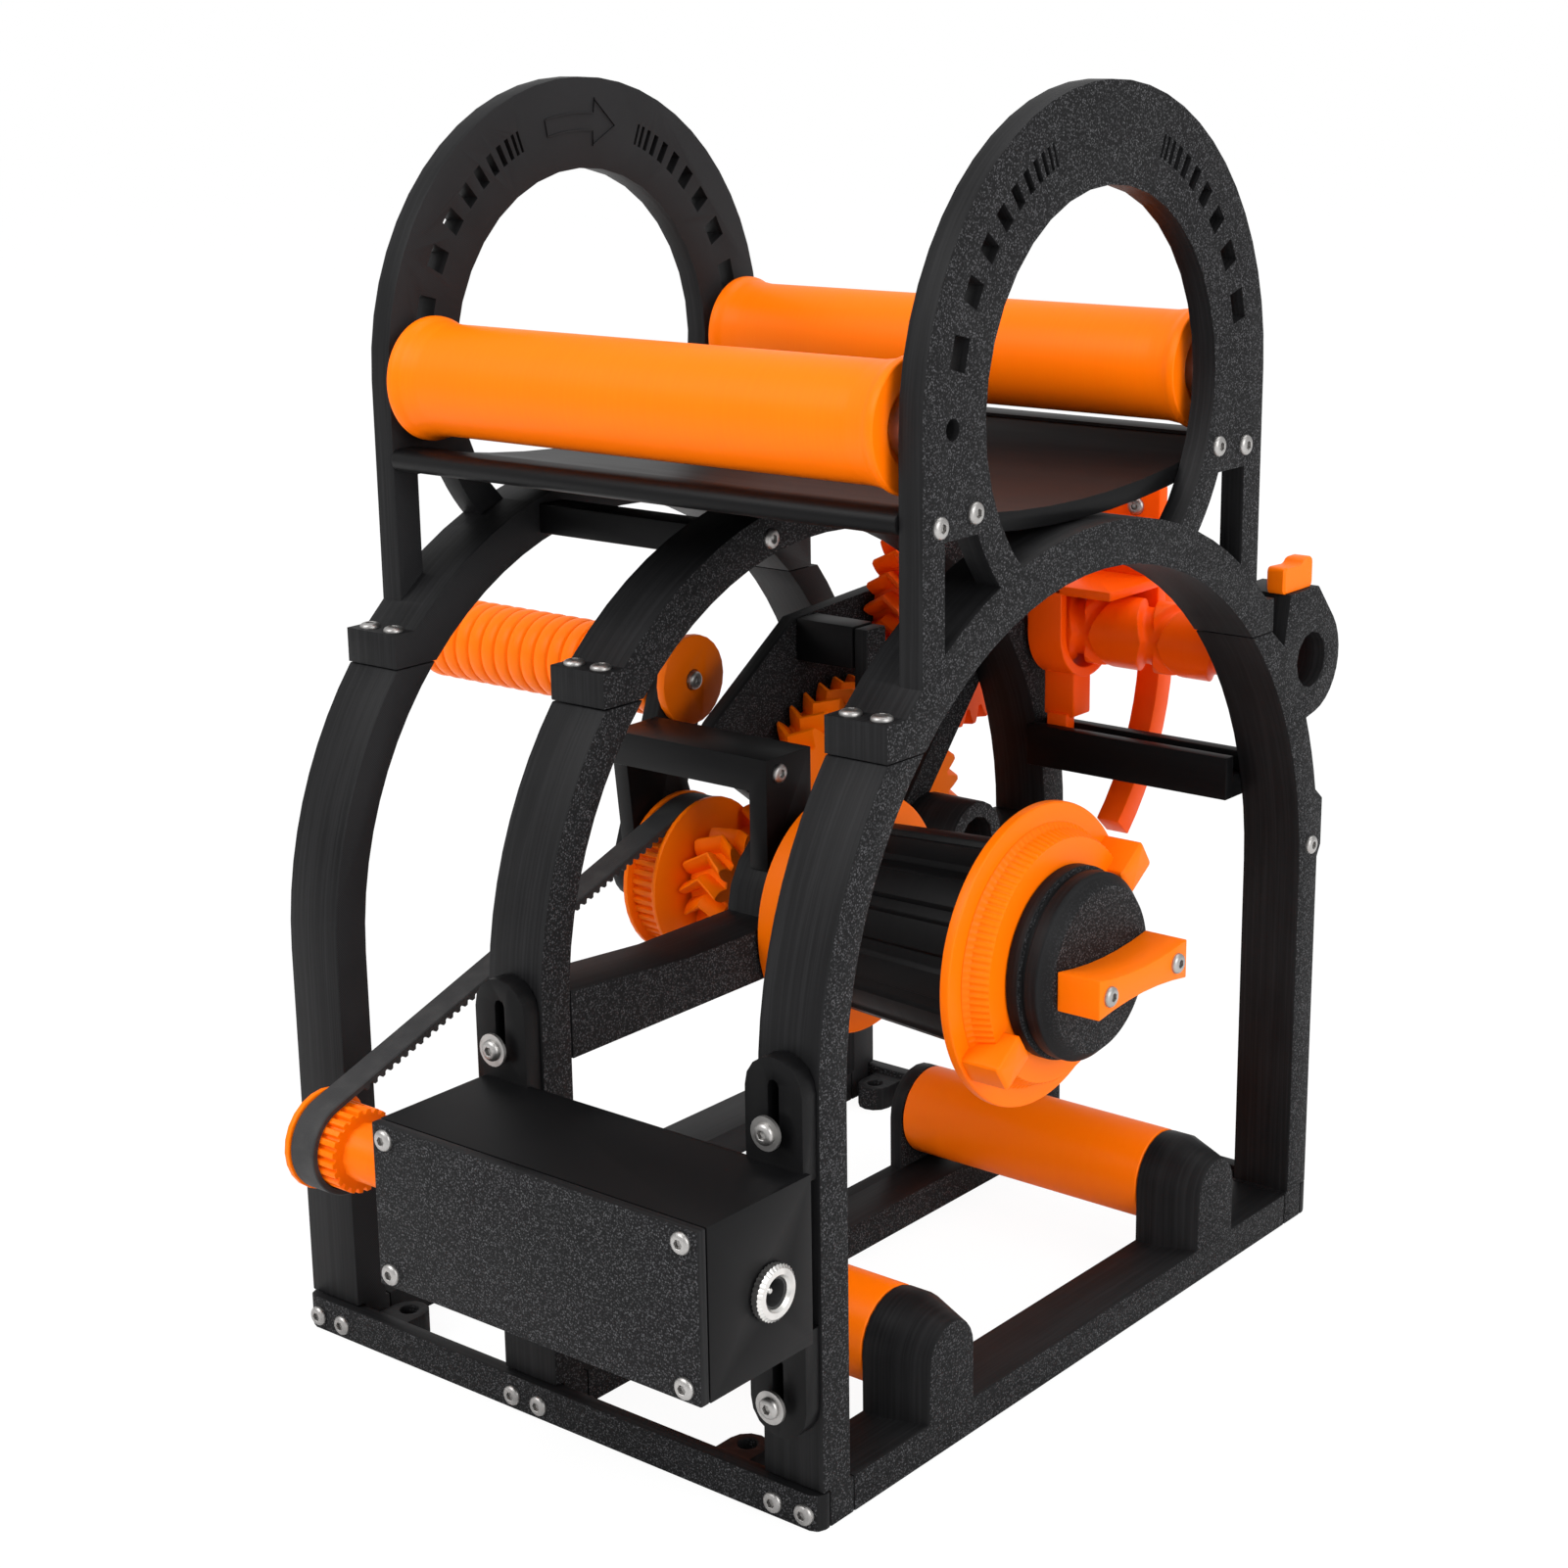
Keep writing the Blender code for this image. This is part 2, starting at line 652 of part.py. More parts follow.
def post_window(side):
    """The three-sided window between post, ring and crown. side is 1 for the back."""
    floor_r = CROWN_OUTER_R - CROWN_OVERLAP
    rise = RING_Z - HUB_Z
    low = (floor_r**2 - RING_LOWER_R**2 + rise**2) / (2 * rise)
    tip_y = math.sqrt(floor_r**2 - low**2)
    top_y = math.sqrt(RING_LOWER_R**2 - (RING_Z - WINDOW_TOP_Z) ** 2)
    start_deg = math.degrees(math.atan2(WINDOW_TOP_Z - RING_Z, top_y))
    end_deg = math.degrees(math.atan2(HUB_Z + low - RING_Z, tip_y))
    tip_deg = math.degrees(math.atan2(low, tip_y))
    post_deg = math.degrees(math.acos(POST_INNER_Y / floor_r))
    points = [(POST_INNER_Y, WINDOW_TOP_Z)]
    points += arc((0, RING_Z), RING_LOWER_R, start_deg, end_deg, WINDOW_STEPS)
    points += arc(HUB, floor_r, tip_deg, post_deg, WINDOW_STEPS)[1:]
    return [(side * y, z) for y, z in points]


def ring_slots(side):
    """Slots through the ring that widen and spread by one ratio from the top downwards."""
    slots = []
    turn = SLOT_FIRST_DEG
    step = SLOT_FIRST_STEP_DEG
    half_width = SLOT_FIRST_WIDTH / 2
    for _ in range(SLOT_COUNT):
        out = Vector((side * math.sin(math.radians(turn)), math.cos(math.radians(turn))))
        across = Vector((-out.y, out.x))
        middle = Vector((0, RING_Z)) + out * SLOT_CENTRE_R
        corners = [(-1, -1), (1, -1), (1, 1), (-1, 1)]
        slot = [middle + out * (a * SLOT_LENGTH / 2) + across * (b * half_width) for a, b in corners]
        slots.append([tuple(p) for p in slot])
        turn += step
        step *= SLOT_GROWTH
        half_width *= SLOT_GROWTH
    return slots


def ring_frame(name, plate_low, crown_low, finish_of):
    """A crown arch of full depth with a thin ring on two posts, printed in one piece."""
    middle_r = (ARCH_INNER_R + CROWN_OUTER_R) / 2
    middle_deg = math.degrees(math.acos(RING_OUTER_R / middle_r))
    outline = arc((0, RING_Z), RING_OUTER_R, 0, 180, RING_STEPS)
    outline += arc(HUB, middle_r, 180 - middle_deg, middle_deg, CROWN_STEPS)
    access = circle((-TOP_ROLLER_Y, RING_Z), AXLE_ACCESS_R, AXLE_STEPS)
    holes = [ring_opening(), post_window(-1), post_window(1), access, *ring_slots(-1), *ring_slots(1)]
    ring = prism(name, outline, plate_low, plate_low + RING_PLATE, finish_of, holes)
    crown = prism(f"{name}_crown", crown_outline(), crown_low, crown_low + FRAME_DEPTH)
    join(ring, crown)


def roller_housing(name, side, places, bottom_z):
    """A round-topped block that stands on a base bar. places is a list of (x, radius)."""
    centre = (side * LOWER_ROLLER_Y, LOWER_ROLLER_Z)
    sections = []
    for x, radius in places:
        outline = [(centre[0] - radius, bottom_z), (centre[0] + radius, bottom_z)]
        sections.append((x, outline + arc(centre, radius, 0, 180, AXLE_STEPS)))
    return stack(name, sections)


def base_bar(name, centre_x, finish_of, places=(), bore=None):
    """The bar on the floor between a frame's legs, with roller housings where places are given."""
    outline = rectangle(-BASE_HALF_LENGTH, BASE_HALF_LENGTH, 0, BASE_THICK)
    bar = prism(name, outline, centre_x - HALF_DEPTH, centre_x + HALF_DEPTH, finish_of)
    for side in (-1, 1) if places else ():
        label = f"{name}_{'front' if side < 0 else 'back'}"
        join(bar, roller_housing(f"{label}_housing", side, places, BASE_THICK / 2))
        centre = (side * LOWER_ROLLER_Y, LOWER_ROLLER_Z)
        cut(bar, prism(f"{label}_bore", circle(centre, AXLE_BORE_R, AXLE_STEPS), *bore))


def bases(black):
    """The three base bars. The right one has cone-shaped housings, the middle one thin end plates."""
    cone_x = RIGHT_FACE_X - HOUSING_CONE_LENGTH
    right = [(RIGHT_INNER_X, ROLLER_R), (cone_x, ROLLER_R), (RIGHT_FACE_X, HOUSING_FACE_R)]
    right_bore = (RIGHT_INNER_X - CUT_OVERRUN, RIGHT_INNER_X + HOUSING_AXLE_DEPTH + SEAT_GAP)
    base_bar("right_base", RIGHT_FRAME_X, black, right, right_bore)
    plate_x = MIDDLE_LEFT_X + MIDDLE_HOUSING_THICK
    middle = [(MIDDLE_LEFT_X, ROLLER_R), (plate_x, ROLLER_R)]
    middle_bore = (MIDDLE_LEFT_X - CUT_OVERRUN, plate_x + CUT_OVERRUN)
    base_bar("middle_base", MIDDLE_FRAME_X, black, middle, middle_bore)
    base_bar("left_base", LEFT_FRAME_X, black)


def rail(name, side, black):
    """A long strip across the legs' feet, with two ears that screw it to a table. side is 1 for the back."""
    inner = side * RAIL_INNER_Y
    outer = side * RAIL_OUTER_Y
    turn = RAIL_CORNER_R / math.sqrt(2) * (math.sqrt(2) - 1)
    outline = [
        (LEFT_FACE_X, inner),
        (RIGHT_FACE_X, inner),
        (RIGHT_FACE_X, outer - side * RAIL_CORNER_R),
        (RIGHT_FACE_X - turn, outer - side * turn),
        (RIGHT_FACE_X - RAIL_CORNER_R, outer),
        (LEFT_FACE_X + RAIL_CORNER_R, outer),
        (LEFT_FACE_X + turn, outer - side * turn),
        (LEFT_FACE_X, outer - side * RAIL_CORNER_R),
    ]
    strip = prism(name, outline, 0, BASE_THICK, black, axis="Z")
    left_x = LEFT_INNER_X + EAR_CLEARANCE
    right_x = RIGHT_INNER_X - EAR_CLEARANCE - EAR_R
    for label, x in (("left", left_x), ("right", right_x)):
        centre = (x, side * (RAIL_INNER_Y - EAR_REACH))
        root = side * (RAIL_INNER_Y + RAIL_THICK / 2)
        ear = [(x - EAR_R, root), (x - EAR_R, centre[1])]
        ear += [(x + EAR_R, root), (x + EAR_R, centre[1])]
        outline = hull(ear + circle(centre, EAR_R, AXLE_STEPS))
        hole = circle(centre, EAR_HOLE_R, AXLE_STEPS)
        join(strip, prism(f"{name}_{label}_ear", outline, 0, EAR_HEIGHT, holes=[hole], axis="Z"))


def tray(black):
    """The curved deck under the full spool: a rounded bar along its front and a grooved one at its back."""
    def sag(y):
        return TRAY_RADIUS - math.sqrt(TRAY_RADIUS**2 - y**2)

    inner = TRAY_BAR_INNER_Y
    outer = TRAY_BAR_OUTER_Y
    floor_z = TRAY_BOTTOM_Z + sag(inner)
    across = [inner * (2 * i / TRAY_STEPS - 1) for i in range(TRAY_STEPS + 1)]
    points = [(y, TRAY_BOTTOM_Z + sag(y)) for y in across]
    half = (TRAY_BAR_TOP_Z - floor_z) / 2
    back = [(outer, floor_z)]
    for level in (1, 2):
        groove_z = floor_z + 2 * half * level / 3
        low = groove_z - TRAY_GROOVE_WIDTH / 2
        high = groove_z + TRAY_GROOVE_WIDTH / 2
        depth = outer - TRAY_GROOVE_DEPTH
        back += [(outer, low), (depth, low), (depth, high), (outer, high)]
    points += [*back, (outer, TRAY_BAR_TOP_Z), (inner, TRAY_BAR_TOP_Z)]
    points += [(y, TRAY_TOP_Z + sag(y)) for y in across[::-1]]
    points.append((-inner, TRAY_BAR_TOP_Z))
    points += arc((half - outer, floor_z + half), half, 90, 270, TRAY_BAR_STEPS)
    prism("spool_tray", points, LEFT_PLATE_X + SEAT_GAP, RIGHT_PLATE_X - SEAT_GAP, black)


def crown_tie_bar(black):
    """A square bar that ties the left crown to the middle one."""
    low = CROWN_BAR_Y - CROWN_BAR_DEPTH / 2
    top = CROWN_BAR_BOTTOM_Z + CROWN_BAR_HEIGHT
    outline = rectangle(low, low + CROWN_BAR_DEPTH, CROWN_BAR_BOTTOM_Z, top)
    prism("crown_tie_bar", outline, LEFT_INNER_X + SEAT_GAP, MIDDLE_LEFT_X - SEAT_GAP, black)


# Rollers


def top_roller(side, orange, steel):
    """A flanged roller that the full spool's rims lie on, and its axle between the ring plates."""
    label = "front" if side < 0 else "back"
    centre = (side * TOP_ROLLER_Y, RING_Z)
    low = LEFT_PLATE_X + ROLLER_END_SPACE
    high = RIGHT_PLATE_X - ROLLER_END_SPACE
    recess = ROLLER_RECESS_DEPTH
    profile = [(low, ROLLER_FLANGE_R), (low + ROLLER_FLANGE_WIDTH, ROLLER_FLANGE_R)]
    profile.append((low + ROLLER_FLANGE_WIDTH + ROLLER_CONE_WIDTH, ROLLER_R))
    profile += [(low + high - x, radius) for x, radius in profile[::-1]]
    profile += [(high, ROLLER_RECESS_R), (high - recess, ROLLER_RECESS_R), (high - recess, AXLE_BORE_R)]
    profile += [(low + recess, AXLE_BORE_R), (low + recess, ROLLER_RECESS_R), (low, ROLLER_RECESS_R)]
    turned(f"top_{label}_roller", profile, centre, orange, bored=True)
    start = LEFT_PLATE_X + SEAT_GAP
    end = RIGHT_PLATE_X - SEAT_GAP
    inner = low + recess - SEAT_GAP
    axle = [(start, 0), (start, COLLAR_R), (inner, COLLAR_R), (inner, AXLE_R)]
    axle += [(low + high - x, radius) for x, radius in axle[::-1]]
    turned(f"top_{label}_axle", axle, centre, steel, steps=AXLE_STEPS)


def lower_roller(side, orange, steel):
    """A plain roller between the housings of the middle and right base bars, and its axle."""
    label = "front" if side < 0 else "back"
    centre = (side * LOWER_ROLLER_Y, LOWER_ROLLER_Z)
    low = MIDDLE_LEFT_X + MIDDLE_HOUSING_THICK + SEAT_GAP
    high = RIGHT_INNER_X - SEAT_GAP
    profile = [(low, AXLE_BORE_R), (low, ROLLER_R), (high, ROLLER_R), (high, AXLE_BORE_R)]
    turned(f"lower_{label}_roller", profile, centre, orange, bored=True)
    start = MIDDLE_LEFT_X
    end = RIGHT_INNER_X + HOUSING_AXLE_DEPTH
    axle = [(start, 0), (start, AXLE_R), (end, AXLE_R), (end, 0)]
    turned(f"lower_{label}_axle", axle, centre, steel, steps=AXLE_STEPS)


# Hub carrier and yoke


def hub_carrier(black):
    """The beam from front leg to back leg with the hub's bearing housing and the eye behind it."""
    reach = ARCH_INNER_R - SEAT_GAP
    reach_top = math.sqrt(ARCH_INNER_R**2 - (CARRIER_LEG_TOP_Z - HUB_Z) ** 2) - SEAT_GAP
    low_deg = math.degrees(math.asin((CARRIER_BOTTOM_Z - HUB_Z) / CARRIER_HOUSING_R))
    top_deg = math.degrees(math.asin((CARRIER_TOP_Z - HUB_Z) / CARRIER_HOUSING_R))
    eye = (EYE_Y, CARRIER_TOP_Z)
    points = [(-reach_top, CARRIER_BOTTOM_Z)]
    points += arc(HUB, CARRIER_HOUSING_R, -180 - low_deg, low_deg, ARCH_STEPS)
    points += [(reach, CARRIER_BOTTOM_Z), (reach, CARRIER_TOP_Z)]
    points += arc(eye, EYE_OUTER_R, 0, 180, ARCH_STEPS)
    points += arc(HUB, CARRIER_HOUSING_R, top_deg, 180 - top_deg, ARCH_STEPS)
    points += [(-CARRIER_KNEE_Y, CARRIER_TOP_Z), (-reach_top, CARRIER_LEG_TOP_Z)]
    holes = [circle(eye, EYE_HOLE_R, AXLE_STEPS), circle(HUB, BEARING_LIP_R, ROLLER_STEPS)]
    carrier = prism("hub_carrier", points, MIDDLE_LEFT_X, MIDDLE_RIGHT_X, black, holes)
    seat = circle(HUB, BEARING_R + SEAT_GAP, ROLLER_STEPS)
    lip = MIDDLE_FRAME_X + BEARING_LIP_WIDTH / 2
    cut(carrier, prism("carrier_right_seat", seat, lip, MIDDLE_RIGHT_X + CUT_OVERRUN))
    lip = MIDDLE_FRAME_X - BEARING_LIP_WIDTH / 2
    cut(carrier, prism("carrier_left_seat", seat, MIDDLE_LEFT_X - CUT_OVERRUN, lip))


def bearing(name, low, high, steel):
    """A ball bearing as one ring with a running gap to the shaft."""
    profile = [(low, SHAFT_BORE_R), (low, BEARING_R), (high, BEARING_R), (high, SHAFT_BORE_R)]
    turned(name, profile, HUB, steel, bored=True)


def hub_bearings(steel):
    """Two bearings in the carrier, against its lip, and a thinner one in the yoke."""
    lip = BEARING_LIP_WIDTH / 2 + SEAT_GAP
    bearing("hub_bearing_right", MIDDLE_FRAME_X + lip, MIDDLE_FRAME_X + lip + BEARING_WIDTH, steel)
    bearing("hub_bearing_left", MIDDLE_FRAME_X - lip - BEARING_WIDTH, MIDDLE_FRAME_X - lip, steel)
    bearing("yoke_bearing", YOKE_LEFT_X, YOKE_LEFT_X + YOKE_LEG_THICK, steel)


def yoke(black):
    """The bracket that bridges belt pulley and pinion, from the carrier's housing to the outer bearing."""
    top = YOKE_BAR_BOTTOM_Z + YOKE_BAR_HEIGHT
    bar = box("yoke", (YOKE_LEFT_X, -YOKE_BAR_DEPTH, YOKE_BAR_BOTTOM_Z), (YOKE_RIGHT_X, 0, top), black)
    corners = rectangle(-YOKE_BAR_DEPTH, 0, YOKE_BAR_BOTTOM_Z + YOKE_BAR_HEIGHT / 2, top)
    outline = hull(corners + circle(HUB, YOKE_EYE_R, ROLLER_STEPS))
    seat = circle(HUB, BEARING_R + SEAT_GAP, ROLLER_STEPS)
    leg = prism("yoke_left_leg", outline, YOKE_LEFT_X, YOKE_LEFT_X + YOKE_LEG_THICK, holes=[seat])
    saddle_r = CARRIER_HOUSING_R + SEAT_GAP
    foot_deg = math.degrees(math.acos(-YOKE_BAR_DEPTH / saddle_r))
    saddle = arc(HUB, saddle_r, foot_deg, 90, SADDLE_STEPS)
    outline = saddle + [(0, top), (-YOKE_BAR_DEPTH, top)]
    right = prism("yoke_right_leg", outline, YOKE_RIGHT_X - YOKE_RIGHT_LEG_THICK, YOKE_RIGHT_X)
    join(bar, leg, right)


# Gears


def involute(angle):
    """The involute of an angle in radians."""
    return math.tan(angle) - angle


def gear_outline(centre, teeth, phase):
    """The outline of an involute gear whose first tooth points at the phase angle, in radians."""
    pitch_r = GEAR_MODULE * teeth / 2
    pressure = math.radians(PRESSURE_DEG)
    base_r = pitch_r * math.cos(pressure)
    root_r = pitch_r - GEAR_MODULE * DEDENDUM_SHARE
    tip_r = pitch_r + GEAR_MODULE * ADDENDUM_SHARE
    start_r = max(base_r, root_r)
    half = math.pi / 2 / teeth - TOOTH_THINNING / 2 / pitch_r + involute(pressure)
    flank = []
    for i in range(FLANK_STEPS):
        radius = start_r + (tip_r - start_r) * i / (FLANK_STEPS - 1)
        flank.append((radius, half - involute(math.acos(min(base_r / radius, 1)))))
    side = [(root_r, flank[0][1]), *flank] if root_r < start_r else flank
    points = []
    for tooth in range(teeth):
        middle = phase + math.tau * tooth / teeth
        for sign, run in ((-1, side), (1, side[::-1])):
            points += [(r, middle + sign * a) for r, a in run]
    return [(centre[0] + r * math.cos(a), centre[1] + r * math.sin(a)) for r, a in points]


def herringbone(name, centre, teeth, phase, hand, orange):
    """A gear with V-shaped teeth: its outline turns to mid-width and back again."""
    twist = math.tan(math.radians(HELIX_DEG)) * GEAR_WIDTH / 2 / (GEAR_MODULE * teeth / 2)
    middle = GEAR_LEFT_X + GEAR_WIDTH / 2
    places = [(GEAR_LEFT_X, 0), (middle, hand * twist), (GEAR_RIGHT_X, 0)]
    sections = [(x, gear_outline(centre, teeth, phase + turn)) for x, turn in places]
    bore = circle(centre, SHAFT_BORE_R, AXLE_STEPS)
    stack(name, sections, orange, [bore], (GEAR_LEFT_X, *centre))


def meshing_phase(first, first_teeth, first_phase, second, second_teeth):
    """The phase at which the second gear's gap meets the first gear's tooth on the line of centres."""
    line = math.atan2(second[1] - first[1], second[0] - first[0])
    share = (line - first_phase) * first_teeth / math.tau - 1 / 2
    return line + math.pi + share * math.tau / second_teeth


def gear_train(orange):
    """Hub pinion, idler and drum gear, each in mesh with the next."""
    idler_phase = meshing_phase(HUB, PINION_TEETH, 0, IDLER, IDLER_TEETH)
    drum_phase = meshing_phase(IDLER, IDLER_TEETH, idler_phase, DRUM, DRUM_TEETH)
    herringbone("hub_pinion", HUB, PINION_TEETH, 0, -1, orange)
    herringbone("idler_gear", IDLER, IDLER_TEETH, idler_phase, 1, orange)
    herringbone("drum_gear", DRUM, DRUM_TEETH, drum_phase, -1, orange)


def gear_cage(black, steel):
    """Two plates beside the gears, tied by a bar, with the idler's axle between them."""
    bar_y = (TIE_BAR_Y - TIE_BAR_DEPTH / 2, TIE_BAR_Y + TIE_BAR_DEPTH / 2)
    bar_z = (TIE_BAR_Z - TIE_BAR_HEIGHT / 2, TIE_BAR_Z + TIE_BAR_HEIGHT / 2)
    toe = (PLATE_TOE_Y, PLATE_TOE_Z)
    corners = circle(toe, PLATE_TOE_Y - SEAT_GAP, AXLE_STEPS) + circle(DRUM, PLATE_DRUM_R, ROLLER_STEPS)
    corners += circle(IDLER, PLATE_IDLER_R, AXLE_STEPS) + rectangle(*bar_y, *bar_z)
    ends = (toe, IDLER, DRUM)
    middle = [(toe[k] + DRUM[k] + IDLER[k]) / len(ends) for k in (0, 1)]
    window = [tuple(middle[k] + (p[k] - middle[k]) * PLATE_WINDOW_SHARE for k in (0, 1)) for p in ends]
    holes = [window, circle(DRUM, SHAFT_BORE_R, AXLE_STEPS), circle(IDLER, AXLE_BORE_R, AXLE_STEPS)]
    left_high = GEAR_LEFT_X - LEFT_PLATE_GAP
    left_low = left_high - GEAR_PLATE_THICK
    right_high = MIDDLE_LEFT_X - SEAT_GAP
    right_low = right_high - GEAR_PLATE_THICK
    prism("gear_plate_left", hull(corners), left_low, left_high, black, holes)
    prism("gear_plate_right", hull(corners), right_low, right_high, black, holes)
    tie = rectangle(*bar_y, *bar_z)
    prism("gear_tie_bar", tie, left_high + SEAT_GAP, right_low - SEAT_GAP, black)
    axle = [(left_low, 0), (left_low, AXLE_R), (right_high, AXLE_R), (right_high, 0)]
    turned("idler_axle", axle, IDLER, steel, steps=AXLE_STEPS)
    end = MIDDLE_RIGHT_X + SLIDE_GAP + CAM_SOCKET_DEPTH
    shaft = [(left_low, 0), (left_low, SHAFT_R), (end, SHAFT_R), (end, 0)]
    turned("drum_shaft", shaft, DRUM, steel, steps=AXLE_STEPS)


# Belt drive


def toothed_rim(centre, pitch_r, teeth):
    """The outline of a timing pulley: a flat tooth and a narrower groove in turn."""
    points = []
    for tooth in range(teeth):
        for turn_share, depth_share in PULLEY_TOOTH_SHARES:
            turn = math.tau * (tooth + turn_share) / teeth
            radius = pitch_r - PULLEY_TOOTH_DEPTH * depth_share
            points.append((centre[0] + radius * math.cos(turn), centre[1] + radius * math.sin(turn)))
    return points


def bore_through(target, centre, radius, low, high):
    """Cuts a round bore along X that runs out of both ends."""
    outline = circle(centre, radius, AXLE_STEPS)
    cut(target, prism(f"{target.name}_bore", outline, low - CUT_OVERRUN, high + CUT_OVERRUN))


def hub_pulley(orange):
    """The large pulley on the hub shaft, with a flange on each side."""
    end = PULLEY_RIM_END_X + PULLEY_FLANGE_THICK
    overlap = PULLEY_FLANGE_THICK / 2
    outline = toothed_rim(HUB, HUB_PULLEY_R, HUB_PULLEY_TEETH)
    low = PULLEY_RIM_X - overlap
    pulley = prism("hub_pulley", outline, low, PULLEY_RIM_END_X + overlap, orange, origin=(low, *HUB))
    rim = circle(HUB, HUB_PULLEY_R + PULLEY_FLANGE_MARGIN, HUB_STEPS)
    join(pulley, prism("hub_pulley_left_flange", rim, PULLEY_LEFT_X, PULLEY_RIM_X))
    join(pulley, prism("hub_pulley_right_flange", rim, PULLEY_RIM_END_X, end))
    bore_through(pulley, HUB, SHAFT_BORE_R, PULLEY_LEFT_X, end)


def motor_pulley(orange):
    """The small pulley on the motor's shaft, flanged on its outer side only."""
    overlap = PULLEY_FLANGE_THICK / 2
    low = PULLEY_RIM_X - overlap
    high = PULLEY_RIM_X + MOTOR_PULLEY_RIM_WIDTH
    outline = toothed_rim(MOTOR, MOTOR_PULLEY_R, MOTOR_PULLEY_TEETH)
    pulley = prism("motor_pulley", outline, low, high, orange, origin=(low, *MOTOR))
    rim = circle(MOTOR, MOTOR_PULLEY_R + PULLEY_FLANGE_MARGIN, ROLLER_STEPS)
    join(pulley, prism("motor_pulley_flange", rim, PULLEY_LEFT_X, PULLEY_RIM_X))
    neck = circle(MOTOR, MOTOR_PULLEY_HUB_R, AXLE_STEPS)
    end = BOX_LEFT_X - 2 * SLIDE_GAP
    join(pulley, prism("motor_pulley_neck", neck, high - overlap, end))
    bore_through(pulley, MOTOR, MOTOR_SHAFT_R + SEAT_GAP, PULLEY_LEFT_X, end)


def belt_loop(extra, teeth=False):
    """One side of the belt: two wraps and two straight runs, at this much over the pulleys' radii."""
    big = HUB_PULLEY_R + extra
    small = MOTOR_PULLEY_R + extra
    run_y = MOTOR_Y
    run_z = MOTOR_Z - HUB_Z
    distance = math.hypot(run_y, run_z)
    line = math.degrees(math.atan2(run_z, run_y))
    lean = math.degrees(math.acos((big - small) / distance))
    points = arc(HUB, big, line + lean, line + 360 - lean, BELT_WRAP_STEPS * 2)
    wrap = arc(MOTOR, small, line - lean, line + lean, BELT_WRAP_STEPS)
    if not teeth:
        return points + wrap
    return points + run_teeth(points[-1], wrap[0]) + wrap + run_teeth(wrap[-1], points[0])


def run_teeth(start, end):
    """Teeth on a free run of the belt, which stand inwards on the left of the way from start to end."""
    first = Vector(start)
    along = Vector(end) - first
    count = int(along.length / BELT_PITCH)
    margin = (along.length - count * BELT_PITCH) / 2
    along.normalize()
    inward = Vector((-along.y, along.x))
    points = []
    for tooth in range(BELT_BARE_PITCHES, count - BELT_BARE_PITCHES):
        for run_share, rise_share in BELT_TOOTH_SHARES:
            foot = first + along * (margin + (tooth + run_share) * BELT_PITCH)
            points.append(tuple(foot + inward * (rise_share * BELT_TOOTH_HEIGHT)))
    return points


def belt(rubber):
    """The timing belt, clear of the pulleys' teeth by the seat gap."""
    low = PULLEY_RIM_X + (PULLEY_RIM_WIDTH - BELT_WIDTH) / 2
    outside = belt_loop(SEAT_GAP + BELT_THICK)
    inside = belt_loop(SEAT_GAP, teeth=True)
    prism("drive_belt", outside, low, low + BELT_WIDTH, rubber, [inside])


# Spool hub


def hub_shaft(steel):
    """The steel rod through crank, pulley, gears, bearings and spool hub."""
    end = CAP_LEFT_X + CAP_BORE_DEPTH - SEAT_GAP
    profile = [(CRANK_LEFT_X, 0), (CRANK_LEFT_X, SHAFT_R), (end, SHAFT_R), (end, 0)]
    turned("hub_shaft", profile, HUB, steel, steps=AXLE_STEPS)


def spool_disc(orange):
    """The disc that a spool is pushed against."""
    end = DISC_LEFT_X + DISC_WIDTH
    rim = DISC_R - DISC_BEVEL
    profile = [(DISC_LEFT_X, SHAFT_BORE_R), (DISC_LEFT_X, rim), (DISC_LEFT_X + DISC_BEVEL, DISC_R)]
    profile += [(end - DISC_BEVEL, DISC_R), (end, rim), (end, SHAFT_BORE_R)]
    turned("spool_disc", profile, HUB, orange, steps=HUB_STEPS, bored=True)


def fluted(radius, depth, count, shares):
    """A round outline with even flutes. shares gives (turn share, depth share) pairs within one flute."""
    points = []
    for flute in range(count):
        for turn_share, depth_share in shares:
            turn = math.tau * (flute + turn_share) / count
            points.append((radius - depth * depth_share, turn))
    return [(HUB[0] + r * math.cos(a), HUB[1] + r * math.sin(a)) for r, a in points]


def hub_core(black):
    """The tapered core that grips the spool's bore, with steps along it like a ratchet."""
    sections = []
    for x, radius in ((CORE_LEFT_X, CORE_LEFT_R), (CORE_LEFT_X + CORE_LENGTH, CORE_RIGHT_R)):
        sections.append((x, fluted(radius, CORE_FLUTE_DEPTH, CORE_FLUTES, CORE_FLUTE_SHARES)))
    bore = circle(HUB, SHAFT_BORE_R, AXLE_STEPS)
    stack("hub_core", sections, black, [bore], (CORE_LEFT_X, *HUB))


